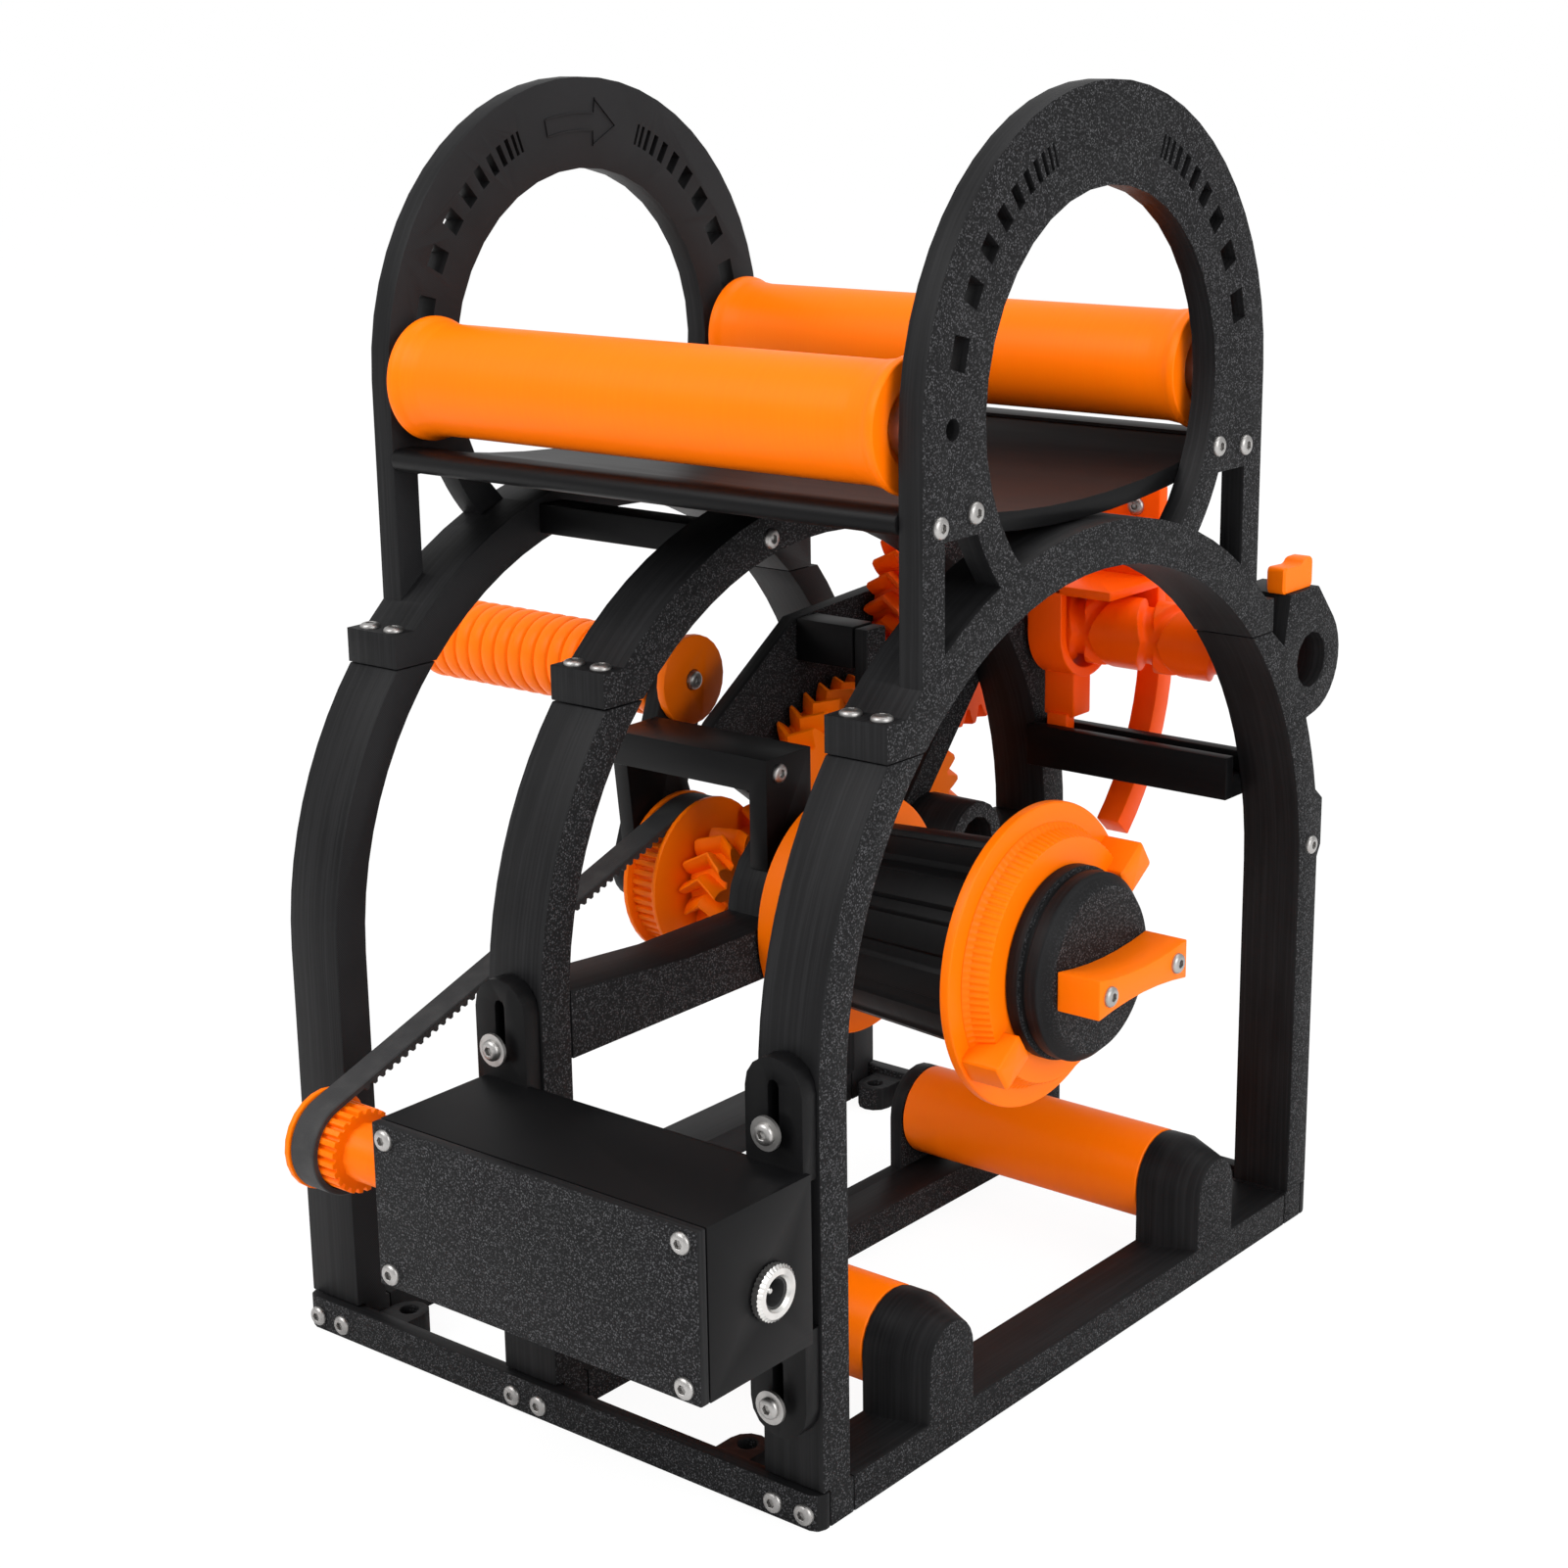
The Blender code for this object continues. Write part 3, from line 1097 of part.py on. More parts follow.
def flange_nut(orange):
    """The wide nut that clamps the spool: flange, step, knurled collar and two lugs to turn it by."""
    step_x = NUT_LEFT_X + NUT_FLANGE_WIDTH
    collar_x = step_x + NUT_STEP_WIDTH
    end = collar_x + NUT_COLLAR_WIDTH
    slope = NUT_STEP_R - NUT_COLLAR_R
    profile = [(NUT_LEFT_X, 0), (NUT_LEFT_X, NUT_FLANGE_R), (step_x, NUT_FLANGE_R)]
    profile += [(step_x, NUT_STEP_R), (collar_x, NUT_STEP_R - slope / 2), (collar_x, 0)]
    nut = turned("flange_nut", profile, HUB, orange, steps=HUB_STEPS)
    rim = fluted(NUT_COLLAR_R, NUT_KNURL_DEPTH, NUT_KNURLS, NUT_KNURL_SHARES)
    join(nut, prism("flange_nut_collar", rim, collar_x - NUT_STEP_WIDTH / 2, end))
    for label, turn in (("low", NUT_LUG_DEG), ("high", NUT_LUG_DEG - 180)):
        out = Vector((math.cos(math.radians(turn)), math.sin(math.radians(turn))))
        across = Vector((-out.y, out.x)) * NUT_LUG_WIDTH / 2
        reach = NUT_FLANGE_R - 2 * SLIDE_GAP
        root = reach - NUT_LUG_LENGTH
        corners = ((root, -1), (reach, -1), (reach, 1), (root, 1))
        outline = [tuple(Vector(HUB) + out * r + across * s) for r, s in corners]
        low = NUT_LEFT_X + NUT_FLANGE_WIDTH / 2
        join(nut, prism(f"flange_nut_{label}_lug", outline, low, step_x + NUT_LUG_DEPTH))
    bore_through(nut, HUB, SHAFT_BORE_R, NUT_LEFT_X, end)


def end_cap(black):
    """The stepped cap on the hub's free end."""
    front_x = CAP_RIGHT_X - CAP_CONE_WIDTH
    bore_x = CAP_LEFT_X + CAP_BORE_DEPTH
    groove_x = CAP_LEFT_X + (front_x - CAP_LEFT_X) / 2
    profile = [(CAP_LEFT_X, SHAFT_BORE_R), (CAP_LEFT_X, CAP_R)]
    profile += [(groove_x - CAP_GROOVE / 2, CAP_R), (groove_x - CAP_GROOVE / 2, CAP_R - CAP_GROOVE)]
    groove_end_x = groove_x + CAP_GROOVE / 2
    profile += [(groove_end_x, CAP_R - CAP_GROOVE), (groove_end_x, CAP_R - CAP_GROOVE / 2)]
    profile += [(front_x, CAP_R - CAP_GROOVE / 2), (CAP_RIGHT_X, CAP_FRONT_R), (CAP_RIGHT_X, 0)]
    profile = [(bore_x, 0), (bore_x, SHAFT_BORE_R), *profile]
    turned("end_cap", profile, HUB, black, steps=HUB_STEPS, origin=(CAP_LEFT_X, *HUB))


def clamp_lever(orange):
    """The waisted handle on the cap's face. Its long sides are shallow arcs."""
    points = []
    for sign in (-1, 1):
        for i in range(LEVER_STEPS + 1):
            share = 1 - 2 * i / LEVER_STEPS
            half = LEVER_HALF_WAIST + (LEVER_HALF_HEIGHT - LEVER_HALF_WAIST) * share**2
            points.append((sign * share * LEVER_HALF_LENGTH, HUB_Z + sign * half))
    low = CAP_RIGHT_X + SEAT_GAP
    prism("clamp_lever", points, low, low + LEVER_DEPTH, orange, origin=(low, *HUB))


# Crank


def crank(black, orange, steel):
    """Crank arm, ribbed grip, the bolt that the grip turns on, and the disc under the bolt's end."""
    outline = hull(circle(HUB, CRANK_HUB_R, ROLLER_STEPS) + circle(GRIP, CRANK_TIP_R, ROLLER_STEPS))
    bolt_hole = circle(GRIP, GRIP_BOLT_R + SEAT_GAP, AXLE_STEPS)
    holes = [circle(HUB, SHAFT_BORE_R, AXLE_STEPS), bolt_hole]
    prism("crank_arm", outline, CRANK_LEFT_X, CRANK_RIGHT_X, black, holes, (CRANK_LEFT_X, *HUB))
    start = CRANK_LEFT_X - SLIDE_GAP
    pitch = GRIP_LENGTH / GRIP_RIBS
    profile = []
    for rib in range(GRIP_RIBS):
        for run_share, rise_share in GRIP_RIB_SHARES:
            radius = GRIP_VALLEY_R + (GRIP_R - GRIP_VALLEY_R) * rise_share
            profile.append((start - (rib + run_share) * pitch, radius))
    end = start - GRIP_LENGTH
    bore_r = GRIP_BOLT_R + SEAT_GAP
    profile = [(start, bore_r), (start, GRIP_VALLEY_R), *profile, (end, GRIP_VALLEY_R), (end, bore_r)]
    turned("crank_grip", profile, GRIP, orange, GRIP_STEPS, bored=True)
    cap_start = CRANK_RIGHT_X + SEAT_GAP
    cap_end = cap_start + GRIP_CAP_THICK
    rim = circle(GRIP, GRIP_CAP_R, ROLLER_STEPS)
    prism("grip_cap", rim, cap_start, cap_end, orange, [bolt_hole], (cap_start, *GRIP))
    head = end - SLIDE_GAP
    bolt = [(head - GRIP_BOLT_HEAD_WIDTH, 0), (head - GRIP_BOLT_HEAD_WIDTH, GRIP_BOLT_HEAD_R)]
    bolt += [(head, GRIP_BOLT_HEAD_R), (head, GRIP_BOLT_R), (cap_end, GRIP_BOLT_R), (cap_end, 0)]
    turned("grip_bolt", bolt, GRIP, steel, AXLE_STEPS, origin=(head, *GRIP))


# Level wind


def cam_radius(along, turn, length):
    """The drum's radius at a share of its length and a turn in radians, with two crossing grooves."""
    stroke = length - 2 * CAM_END_MARGIN
    nearest = length
    for lap in range(int(2 * CAM_GROOVE_TURNS)):
        phase = (turn / math.tau + lap) / (2 * CAM_GROOVE_TURNS)
        there = CAM_END_MARGIN + stroke * (1 - abs(2 * phase - 1))
        nearest = min(nearest, abs(along * length - there))
    slope = 1 - min(nearest / CAM_GROOVE_HALF_WIDTH, 1) ** 2
    return CAM_R - CAM_GROOVE_DEPTH * max(slope, 0)


def cam_drum(orange):
    """The level wind's drum: a self-reversing groove on a cylinder, a blind socket and a journal."""
    start = MIDDLE_RIGHT_X + SLIDE_GAP
    end = RIGHT_INNER_X - SLIDE_GAP
    length = end - start
    sections = []
    for i in range(CAM_AXIAL_STEPS + 1):
        along = i / CAM_AXIAL_STEPS
        ring = []
        for j in range(CAM_ROUND_STEPS):
            turn = math.tau * j / CAM_ROUND_STEPS
            radius = cam_radius(along, turn, length)
            ring.append((DRUM_Y + radius * math.cos(turn), DRUM_Z + radius * math.sin(turn)))
        sections.append((start + along * length, ring))
    for x in (end, RIGHT_INNER_X + JOURNAL_LENGTH):
        sections.append((x, circle(DRUM, JOURNAL_R, CAM_ROUND_STEPS)))
    drum = stack("cam_drum", sections, orange, origin=(start, *DRUM))
    socket = circle(DRUM, SHAFT_BORE_R, AXLE_STEPS)
    cut(drum, prism("cam_socket", socket, start - CUT_OVERRUN, start + CAM_SOCKET_DEPTH + SEAT_GAP))


def wind_rail(black):
    """The rail between middle and right back legs, with a slot that guides the carriage's foot."""
    outer = WIND_RAIL_INNER_Y + WIND_RAIL_DEPTH
    top = WIND_RAIL_BOTTOM_Z + WIND_RAIL_HEIGHT
    middle = WIND_RAIL_INNER_Y + WIND_RAIL_DEPTH / 2
    slot = (middle - WIND_SLOT_WIDTH / 2, middle + WIND_SLOT_WIDTH / 2)
    floor_z = top - WIND_SLOT_DEPTH
    points = [(WIND_RAIL_INNER_Y, WIND_RAIL_BOTTOM_Z), (outer, WIND_RAIL_BOTTOM_Z), (outer, top)]
    points += [(slot[1], top), (slot[1], floor_z), (slot[0], floor_z), (slot[0], top)]
    points.append((WIND_RAIL_INNER_Y, top))
    prism("level_wind_rail", points, MIDDLE_RIGHT_X + SEAT_GAP, RIGHT_INNER_X - SEAT_GAP, black)


def carriage(orange):
    """The block that rides on the drum and in the rail's slot, with a wall behind for the guide arm."""
    tunnel_r = CAM_R + CARRIAGE_CAM_GAP
    roof_z = CARRIAGE_TOP_Z - CARRIAGE_ROOF
    outline = [
        (CARRIAGE_FRONT_Y, CARRIAGE_BOTTOM_Z),
        (CARRIAGE_STEM_BACK_Y, CARRIAGE_BOTTOM_Z),
        (CARRIAGE_STEM_BACK_Y, CARRIAGE_STEM_TOP_Z),
        (CARRIAGE_BACK_Y, CARRIAGE_WAIST_Z),
        (CARRIAGE_BACK_Y, CARRIAGE_WALL_TOP_Z),
        (CARRIAGE_BACK_Y - CARRIAGE_WALL_THICK, CARRIAGE_WALL_TOP_Z),
        (CARRIAGE_BACK_Y - CARRIAGE_WALL_THICK, CARRIAGE_TOP_Z),
        (CARRIAGE_FRONT_Y, CARRIAGE_TOP_Z),
    ]
    tunnel = arc(DRUM, tunnel_r, 180, 360, ARCH_STEPS)
    tunnel += [(DRUM_Y + tunnel_r, roof_z), (DRUM_Y - tunnel_r, roof_z)]
    low = CARRIAGE_LEFT_X
    origin = (low, *DRUM)
    block = prism("carriage", outline, low, low + CARRIAGE_LENGTH, orange, [tunnel], origin)
    middle_y = WIND_RAIL_INNER_Y + WIND_RAIL_DEPTH / 2
    half = WIND_SLOT_WIDTH / 2 - SLIDE_GAP
    foot_x = low + (CARRIAGE_LENGTH - CARRIAGE_FOOT_LENGTH) / 2
    floor_z = WIND_RAIL_BOTTOM_Z + WIND_RAIL_HEIGHT - WIND_SLOT_DEPTH + SLIDE_GAP
    high = (foot_x + CARRIAGE_FOOT_LENGTH, middle_y + half, CARRIAGE_BOTTOM_Z + CARRIAGE_ROOF)
    join(block, box("carriage_foot", (foot_x, middle_y - half, floor_z), high))


def guide_arm(orange):
    """The arm behind the carriage that curves down and forward to lead the filament onto the spool."""
    front = CARRIAGE_BACK_Y + SEAT_GAP
    half_x = ARM_THICK / 2
    middle_y = front + ARM_THICK / 2
    places = [(0.0, ARM_TOP_Z)]
    places += [(ARM_BEND_DEG * i / ARM_STEPS, ARM_BEND_Z) for i in range(ARM_STEPS + 1)]
    lengths = ARM_BEND_R * math.sin(math.radians(ARM_BEND_DEG)) + ARM_TOP_Z - ARM_BEND_Z
    points = []
    for bend_deg, level in places:
        bend = math.radians(bend_deg)
        centre_y = middle_y - ARM_BEND_R * (1 - math.cos(bend))
        centre_z = level - ARM_BEND_R * math.sin(bend)
        centre_x = ARM_TOP_X + (ARM_TIP_X - ARM_TOP_X) * (ARM_TOP_Z - centre_z) / lengths
        across = Vector((math.cos(bend), -math.sin(bend))) * half_x
        for sx, sn in ((-1, -1), (1, -1), (1, 1), (-1, 1)):
            place = (centre_x + sx * half_x, centre_y + sn * across[0], centre_z + sn * across[1])
            points.append(place)
    faces = [(3, 2, 1, 0)]
    for level in range(len(places) - 1):
        low = 4 * level
        faces += [(low + i, low + (i + 1) % 4, low + 4 + (i + 1) % 4, low + 4 + i) for i in range(4)]
    last = 4 * (len(places) - 1)
    faces.append((last, last + 1, last + 2, last + 3))
    finish("guide_arm", points, faces, orange, (ARM_TOP_X, front, ARM_TOP_Z))


def spring_clip(orange):
    """The clip on the boss's lug that holds the filament's end."""
    low = LUG_TOP_Z + SEAT_GAP
    top = low + CLIP_HEIGHT
    points = [
        (CLIP_INNER_Y, low),
        (CLIP_OUTER_Y, low),
        (CLIP_OUTER_Y, top - CLIP_WALL / 2),
        (CLIP_OUTER_Y - CLIP_WALL / 2, top),
        (CLIP_OUTER_Y - CLIP_WALL, top),
        (CLIP_OUTER_Y - CLIP_WALL, low + CLIP_HEIGHT / 2),
        (CLIP_INNER_Y, low + CLIP_HEIGHT / 2),
    ]
    prism("filament_clip", points, RIGHT_FACE_X - CLIP_LENGTH, RIGHT_FACE_X, orange)


# Motor box


def tab_outline(centre_x, low, high, low_round, high_round):
    """A strip (x, z) with a rounded free end above or below."""
    half = TAB_HALF_WIDTH
    bottom = [(centre_x - half, low), (centre_x + half, low)]
    top = [(centre_x + half, high), (centre_x - half, high)]
    if low_round:
        bottom = arc((centre_x, low + half), half, 180, 360, TAB_STEPS)
    if high_round:
        top = arc((centre_x, high - half), half, 0, 180, TAB_STEPS)
    return bottom + top


def slot_outline(centre_x, low, high):
    """A screw slot (x, z) with round ends."""
    half = TAB_SLOT_HALF_WIDTH
    bottom = arc((centre_x, low + half), half, 180, 360, TAB_SLOT_STEPS)
    return bottom + arc((centre_x, high - half), half, 0, 180, TAB_SLOT_STEPS)


def motor_box(black):
    """The box on the front legs, open to the front, with slotted tabs that set the belt's tension."""
    front = BOX_FRONT_Y + PANEL_THICK + SEAT_GAP
    far = (BOX_RIGHT_X, BOX_BACK_Y, BOX_TOP_Z)
    box_body = box("motor_box", (BOX_LEFT_X, front, BOX_BOTTOM_Z), far, black)
    low = (BOX_LEFT_X + BOX_WALL, front - CUT_OVERRUN, BOX_BOTTOM_Z + BOX_WALL)
    high = (BOX_RIGHT_X - BOX_WALL, BOX_BACK_Y - BOX_WALL, BOX_TOP_Z - BOX_WALL)
    cut(box_body, box("motor_box_room", low, high))
    tab_low = BOX_BACK_Y - BOX_WALL / 2
    tab_high = BOX_BACK_Y + TAB_THICK
    overlap = BOX_WALL
    for label, x in (("left", MIDDLE_FRAME_X), ("right", RIGHT_FRAME_X)):
        upper = tab_outline(x, BOX_TOP_Z - overlap, TAB_TOP_Z, False, True)
        slot = slot_outline(x, UPPER_SLOT_LOW_Z, UPPER_SLOT_HIGH_Z)
        join(box_body, prism(f"{label}_upper_tab", upper, tab_low, tab_high, holes=[slot], axis="Y"))
        lower = tab_outline(x, TAB_BOTTOM_Z, BOX_BOTTOM_Z + overlap, True, False)
        slot = slot_outline(x, LOWER_SLOT_LOW_Z, LOWER_SLOT_HIGH_Z)
        join(box_body, prism(f"{label}_lower_tab", lower, tab_low, tab_high, holes=[slot], axis="Y"))
    jack = circle((JACK_Y, JACK_Z), JACK_BODY_R + SEAT_GAP, AXLE_STEPS)
    cut(box_body, prism("jack_hole", jack, BOX_RIGHT_X - BOX_WALL - CUT_OVERRUN, BOX_RIGHT_X + CUT_OVERRUN))
    shaft = circle(MOTOR, MOTOR_BOSS_R + SEAT_GAP, AXLE_STEPS)
    wall_x = BOX_LEFT_X + BOX_WALL
    cut(box_body, prism("shaft_hole", shaft, BOX_LEFT_X - CUT_OVERRUN, wall_x + CUT_OVERRUN))


def box_panel(black):
    """The plate that closes the box's front."""
    low = (BOX_LEFT_X, BOX_FRONT_Y, BOX_BOTTOM_Z)
    high = (BOX_RIGHT_X, BOX_FRONT_Y + PANEL_THICK, BOX_TOP_Z)
    box("box_front_panel", low, high, black)


def dc_jack(steel):
    """The power inlet: a ring on the box's side, a socket and its pin."""
    start = BOX_RIGHT_X + SEAT_GAP + JACK_RING_THICK
    ring_x = BOX_RIGHT_X + SEAT_GAP
    end = start - JACK_LENGTH
    floor_x = start - JACK_SOCKET_DEPTH
    profile = [(end, 0), (end, JACK_BODY_R), (ring_x, JACK_BODY_R), (ring_x, JACK_RING_R)]
    profile += [(start, JACK_RING_R), (start, JACK_SOCKET_R), (floor_x, JACK_SOCKET_R)]
    profile += [(floor_x, JACK_PIN_R), (start - JACK_RING_THICK, JACK_PIN_R), (start - JACK_RING_THICK, 0)]
    turned("dc_jack", profile, (JACK_Y, JACK_Z), steel, steps=AXLE_STEPS, origin=(ring_x, JACK_Y, JACK_Z))


def motor(steel):
    """The geared motor's body inside the box, and its turning shaft."""
    face_x = BOX_LEFT_X + BOX_WALL + SEAT_GAP
    end = face_x + MOTOR_LENGTH
    bore_r = MOTOR_SHAFT_R + SEAT_GAP
    nose_x = BOX_LEFT_X
    profile = [(nose_x, bore_r), (nose_x, MOTOR_BOSS_R), (face_x, MOTOR_BOSS_R), (face_x, MOTOR_R)]
    profile += [(end, MOTOR_R), (end, bore_r)]
    turned("motor", profile, MOTOR, steel, bored=True)
    shaft = [(PULLEY_LEFT_X, 0), (PULLEY_LEFT_X, MOTOR_SHAFT_R), (end, MOTOR_SHAFT_R), (end, 0)]
    turned("motor_shaft", shaft, MOTOR, steel, steps=AXLE_STEPS)


def main():
    """Builds the whole winder."""
    clear_scene()
    black = material("black_print", (0.02, 0.02, 0.022), 0.55)
    orange = material("orange_print", (1.0, 0.24, 0.01), 0.35)
    steel = material("bright_steel", (0.62, 0.62, 0.64), 0.25, 1.0)
    rubber = material("belt_rubber", (0.012, 0.012, 0.012), 0.75)
    lower_frame("right", RIGHT_FRAME_X, black, boss=True)
    lower_frame("middle", MIDDLE_FRAME_X, black)
    lower_frame("left", LEFT_FRAME_X, black)
    bases(black)
    ring_frame("right_ring", RIGHT_PLATE_X, RIGHT_INNER_X, black)
    ring_frame("left_ring", LEFT_FACE_X, LEFT_FACE_X, black)
    prism("middle_crown", crown_outline(), MIDDLE_LEFT_X, MIDDLE_RIGHT_X, black)
    rail("front_rail", -1, black)
    rail("back_rail", 1, black)
    tray(black)
    crown_tie_bar(black)
    for side in (-1, 1):
        top_roller(side, orange, steel)
        lower_roller(side, orange, steel)
    hub_carrier(black)
    hub_bearings(steel)
    yoke(black)
    gear_train(orange)
    gear_cage(black, steel)
    hub_pulley(orange)
    motor_pulley(orange)
    belt(rubber)
    hub_shaft(steel)
    spool_disc(orange)
    hub_core(black)
    flange_nut(orange)
    end_cap(black)
    clamp_lever(orange)
    crank(black, orange, steel)
    cam_drum(orange)
    wind_rail(black)
    carriage(orange)
    guide_arm(orange)
    spring_clip(orange)
    motor_box(black)
    box_panel(black)
    dc_jack(steel)
    motor(steel)


main()
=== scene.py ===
"""Looks of the filament spool winder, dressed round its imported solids.

Round and toothed pieces are worked out here with numpy and stand for their plainer solids. The flat prints
keep their solids, with softened edges. Metres, +Z up, +X along the hub shaft, -Y towards the motor box.
"""

import logging
import math
from dataclasses import dataclass, replace
from enum import Enum

import bmesh
import bpy
import numpy as np
from mathutils import Matrix
from numpy.typing import ArrayLike


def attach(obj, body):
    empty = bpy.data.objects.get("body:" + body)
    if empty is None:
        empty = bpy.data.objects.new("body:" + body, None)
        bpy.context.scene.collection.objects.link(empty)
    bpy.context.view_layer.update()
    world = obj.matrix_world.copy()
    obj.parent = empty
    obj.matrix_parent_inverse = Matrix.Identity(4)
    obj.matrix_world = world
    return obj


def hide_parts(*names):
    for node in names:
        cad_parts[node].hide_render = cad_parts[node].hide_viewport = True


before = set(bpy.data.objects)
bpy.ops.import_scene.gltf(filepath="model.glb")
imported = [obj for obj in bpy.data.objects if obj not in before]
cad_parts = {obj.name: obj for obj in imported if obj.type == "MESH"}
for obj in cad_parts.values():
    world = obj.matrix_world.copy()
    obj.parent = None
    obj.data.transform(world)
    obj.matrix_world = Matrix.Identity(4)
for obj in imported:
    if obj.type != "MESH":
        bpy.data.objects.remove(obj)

Pair = tuple[float, float]
Triple = tuple[float, float, float]
Inputs = dict[int | str, object]

LOG = logging.getLogger("winder")
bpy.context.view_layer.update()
TURN = 2 * math.pi
HUB_AXIS = (0.0, 0.1135)
DRUM_AXIS = (0.1117, 0.1776)
SHAFT_BORE = 0.0043
SHARP_DEG = 32.0
WHITE = (1.0, 1.0, 1.0, 1.0)


class Axis(Enum):
    """A row axis, as its index."""

    X = 0
    Y = 1
    Z = 2


class Slot(Enum):
    """The record's material slots."""

    BLACK = "black_print"
    ORANGE = "orange_print"
    STEEL = "bright_steel"
    RUBBER = "belt_rubber"


# Shader tools


class Value:
    """A number that flows through a material's nodes, with arithmetic."""

    def __init__(self, tree: bpy.types.NodeTree, socket: bpy.types.NodeSocket) -> None:
        """Wraps an output socket of a node tree."""
        self.tree = tree
        self.socket = socket

    def apply(self, operation: str, *sources: "Value | float") -> "Value":
        """The result of a Math node with these inputs."""
        return add_node(self.tree, "ShaderNodeMath", {"operation": operation}, dict(enumerate(sources)))

    def __add__(self, other: "Value | float") -> "Value":
        """The sum."""
        return self.apply("ADD", self, other)

    __radd__ = __add__

    def __mul__(self, other: "Value | float") -> "Value":
        """The product."""
        return self.apply("MULTIPLY", self, other)

    def __sub__(self, other: "Value | float") -> "Value":
        """The difference."""
        return self.apply("SUBTRACT", self, other)

    def __rsub__(self, other: "Value | float") -> "Value":
        """The difference, with this value taken away."""
        return self.apply("SUBTRACT", other, self)

    def __abs__(self) -> "Value":
        """The value without its sign."""
        return self.apply("ABSOLUTE", self)

    def ripple(self, length: float) -> "Value":
        """A sine wave between 0 and 1 that repeats with the length, in metres."""
        return self.apply("SINE", self * (TURN / length)) * 0.5 + 0.5

    def ramp(self, low: float, high: float) -> "Value":
        """Rises smoothly from 0 at low to 1 at high, and stays there."""
        inputs = {"Value": self, "From Min": low, "From Max": high}
        return add_node(self.tree, "ShaderNodeMapRange", {"interpolation_type": "SMOOTHSTEP"}, inputs)


def add_node(tree: bpy.types.NodeTree, kind: str, settings: dict[str, str], inputs: Inputs,
             output: int | str = 0) -> Value:
    """Adds a node, with its settings first and then the values or links of its sockets.

    Args:
        tree: the node tree.
        kind: the node's type name.
        settings: attributes of the node.
        inputs: socket names or numbers, with the value or link that each gets.
        output: the name or number of the output that is wanted.

    Returns:
        The wanted output.
    """
    node = tree.nodes.new(kind)
    for key, value in settings.items():
        setattr(node, key, value)
    for key, source in inputs.items():
        if isinstance(source, Value):
            tree.links.new(source.socket, node.inputs[key])
        else:
            node.inputs[key].default_value = source
    return Value(tree, node.outputs[output])


class Paint:
    """Builds the nodes of one material."""

    MIX_FIRST = 6
    MIX_SECOND = 7
    MIX_RESULT = 2

    def __init__(self, name: str, roughness: float, metallic: float = 0.0) -> None:
        """Starts a material with a Principled shader of a roughness and a metallic value."""
        self.material = bpy.data.materials.new(name)
        self.material.use_nodes = True
        self.tree = self.material.node_tree
        self.shader = self.tree.nodes["Principled BSDF"]
        self.shader.inputs["Roughness"].default_value = roughness
        self.shader.inputs["Metallic"].default_value = metallic

    def node(self, kind: str, inputs: Inputs, output: int | str = 0, **settings: str) -> Value:
        """An output of a new node in this material."""
        return add_node(self.tree, kind, settings, inputs, output)

    def place(self) -> Value:
        """The point on the piece, as a vector in metres."""
        return self.node("ShaderNodeTexCoord", {}, "Object")

    def part_of(self, vector: Value, axis: Axis) -> Value:
        """One component of a vector."""
        return self.node("ShaderNodeSeparateXYZ", {0: vector}, axis.value)

    def facing(self, axis: Axis) -> Value:
        """How much the surface faces along an axis of the piece, from -1 to 1."""
        return self.part_of(self.node("ShaderNodeTexCoord", {}, "Normal"), axis)

    def stretched(self, vector: Value, scales: Triple) -> Value:
        """A vector with each component multiplied."""
        return self.node("ShaderNodeVectorMath", {0: vector, 1: scales}, operation="MULTIPLY")

    def noise(self, vector: Value, scale: float, detail: float = 2.0) -> Value:
        """Cloudy noise from 0 to 1."""
        return self.node("ShaderNodeTexNoise", {"Vector": vector, "Scale": scale, "Detail": detail})

    def cells(self, vector: Value, scale: float) -> Value:
        """The distance to the nearest of many scattered points, from 0 to about 1."""
        return self.node("ShaderNodeTexVoronoi", {"Vector": vector, "Scale": scale})

    def blend(self, share: Value, first: Triple, second: Triple) -> Value:
        """A colour between two colours."""
        inputs = {0: share, self.MIX_FIRST: (*first, 1.0), self.MIX_SECOND: (*second, 1.0)}
        return self.node("ShaderNodeMix", inputs, self.MIX_RESULT, data_type="RGBA")

    def feed(self, socket: str, source: Value) -> None:
        """Links a value to one of the shader's sockets."""
        self.tree.links.new(source.socket, self.shader.inputs[socket])

    def bump(self, height: Value, depth: float) -> None:
        """Lets a height from 0 to 1 disturb the surface normal by a depth in metres."""
        inputs = {"Strength": 1.0, "Distance": depth, "Height": height}
        self.feed("Normal", self.node("ShaderNodeBump", inputs))


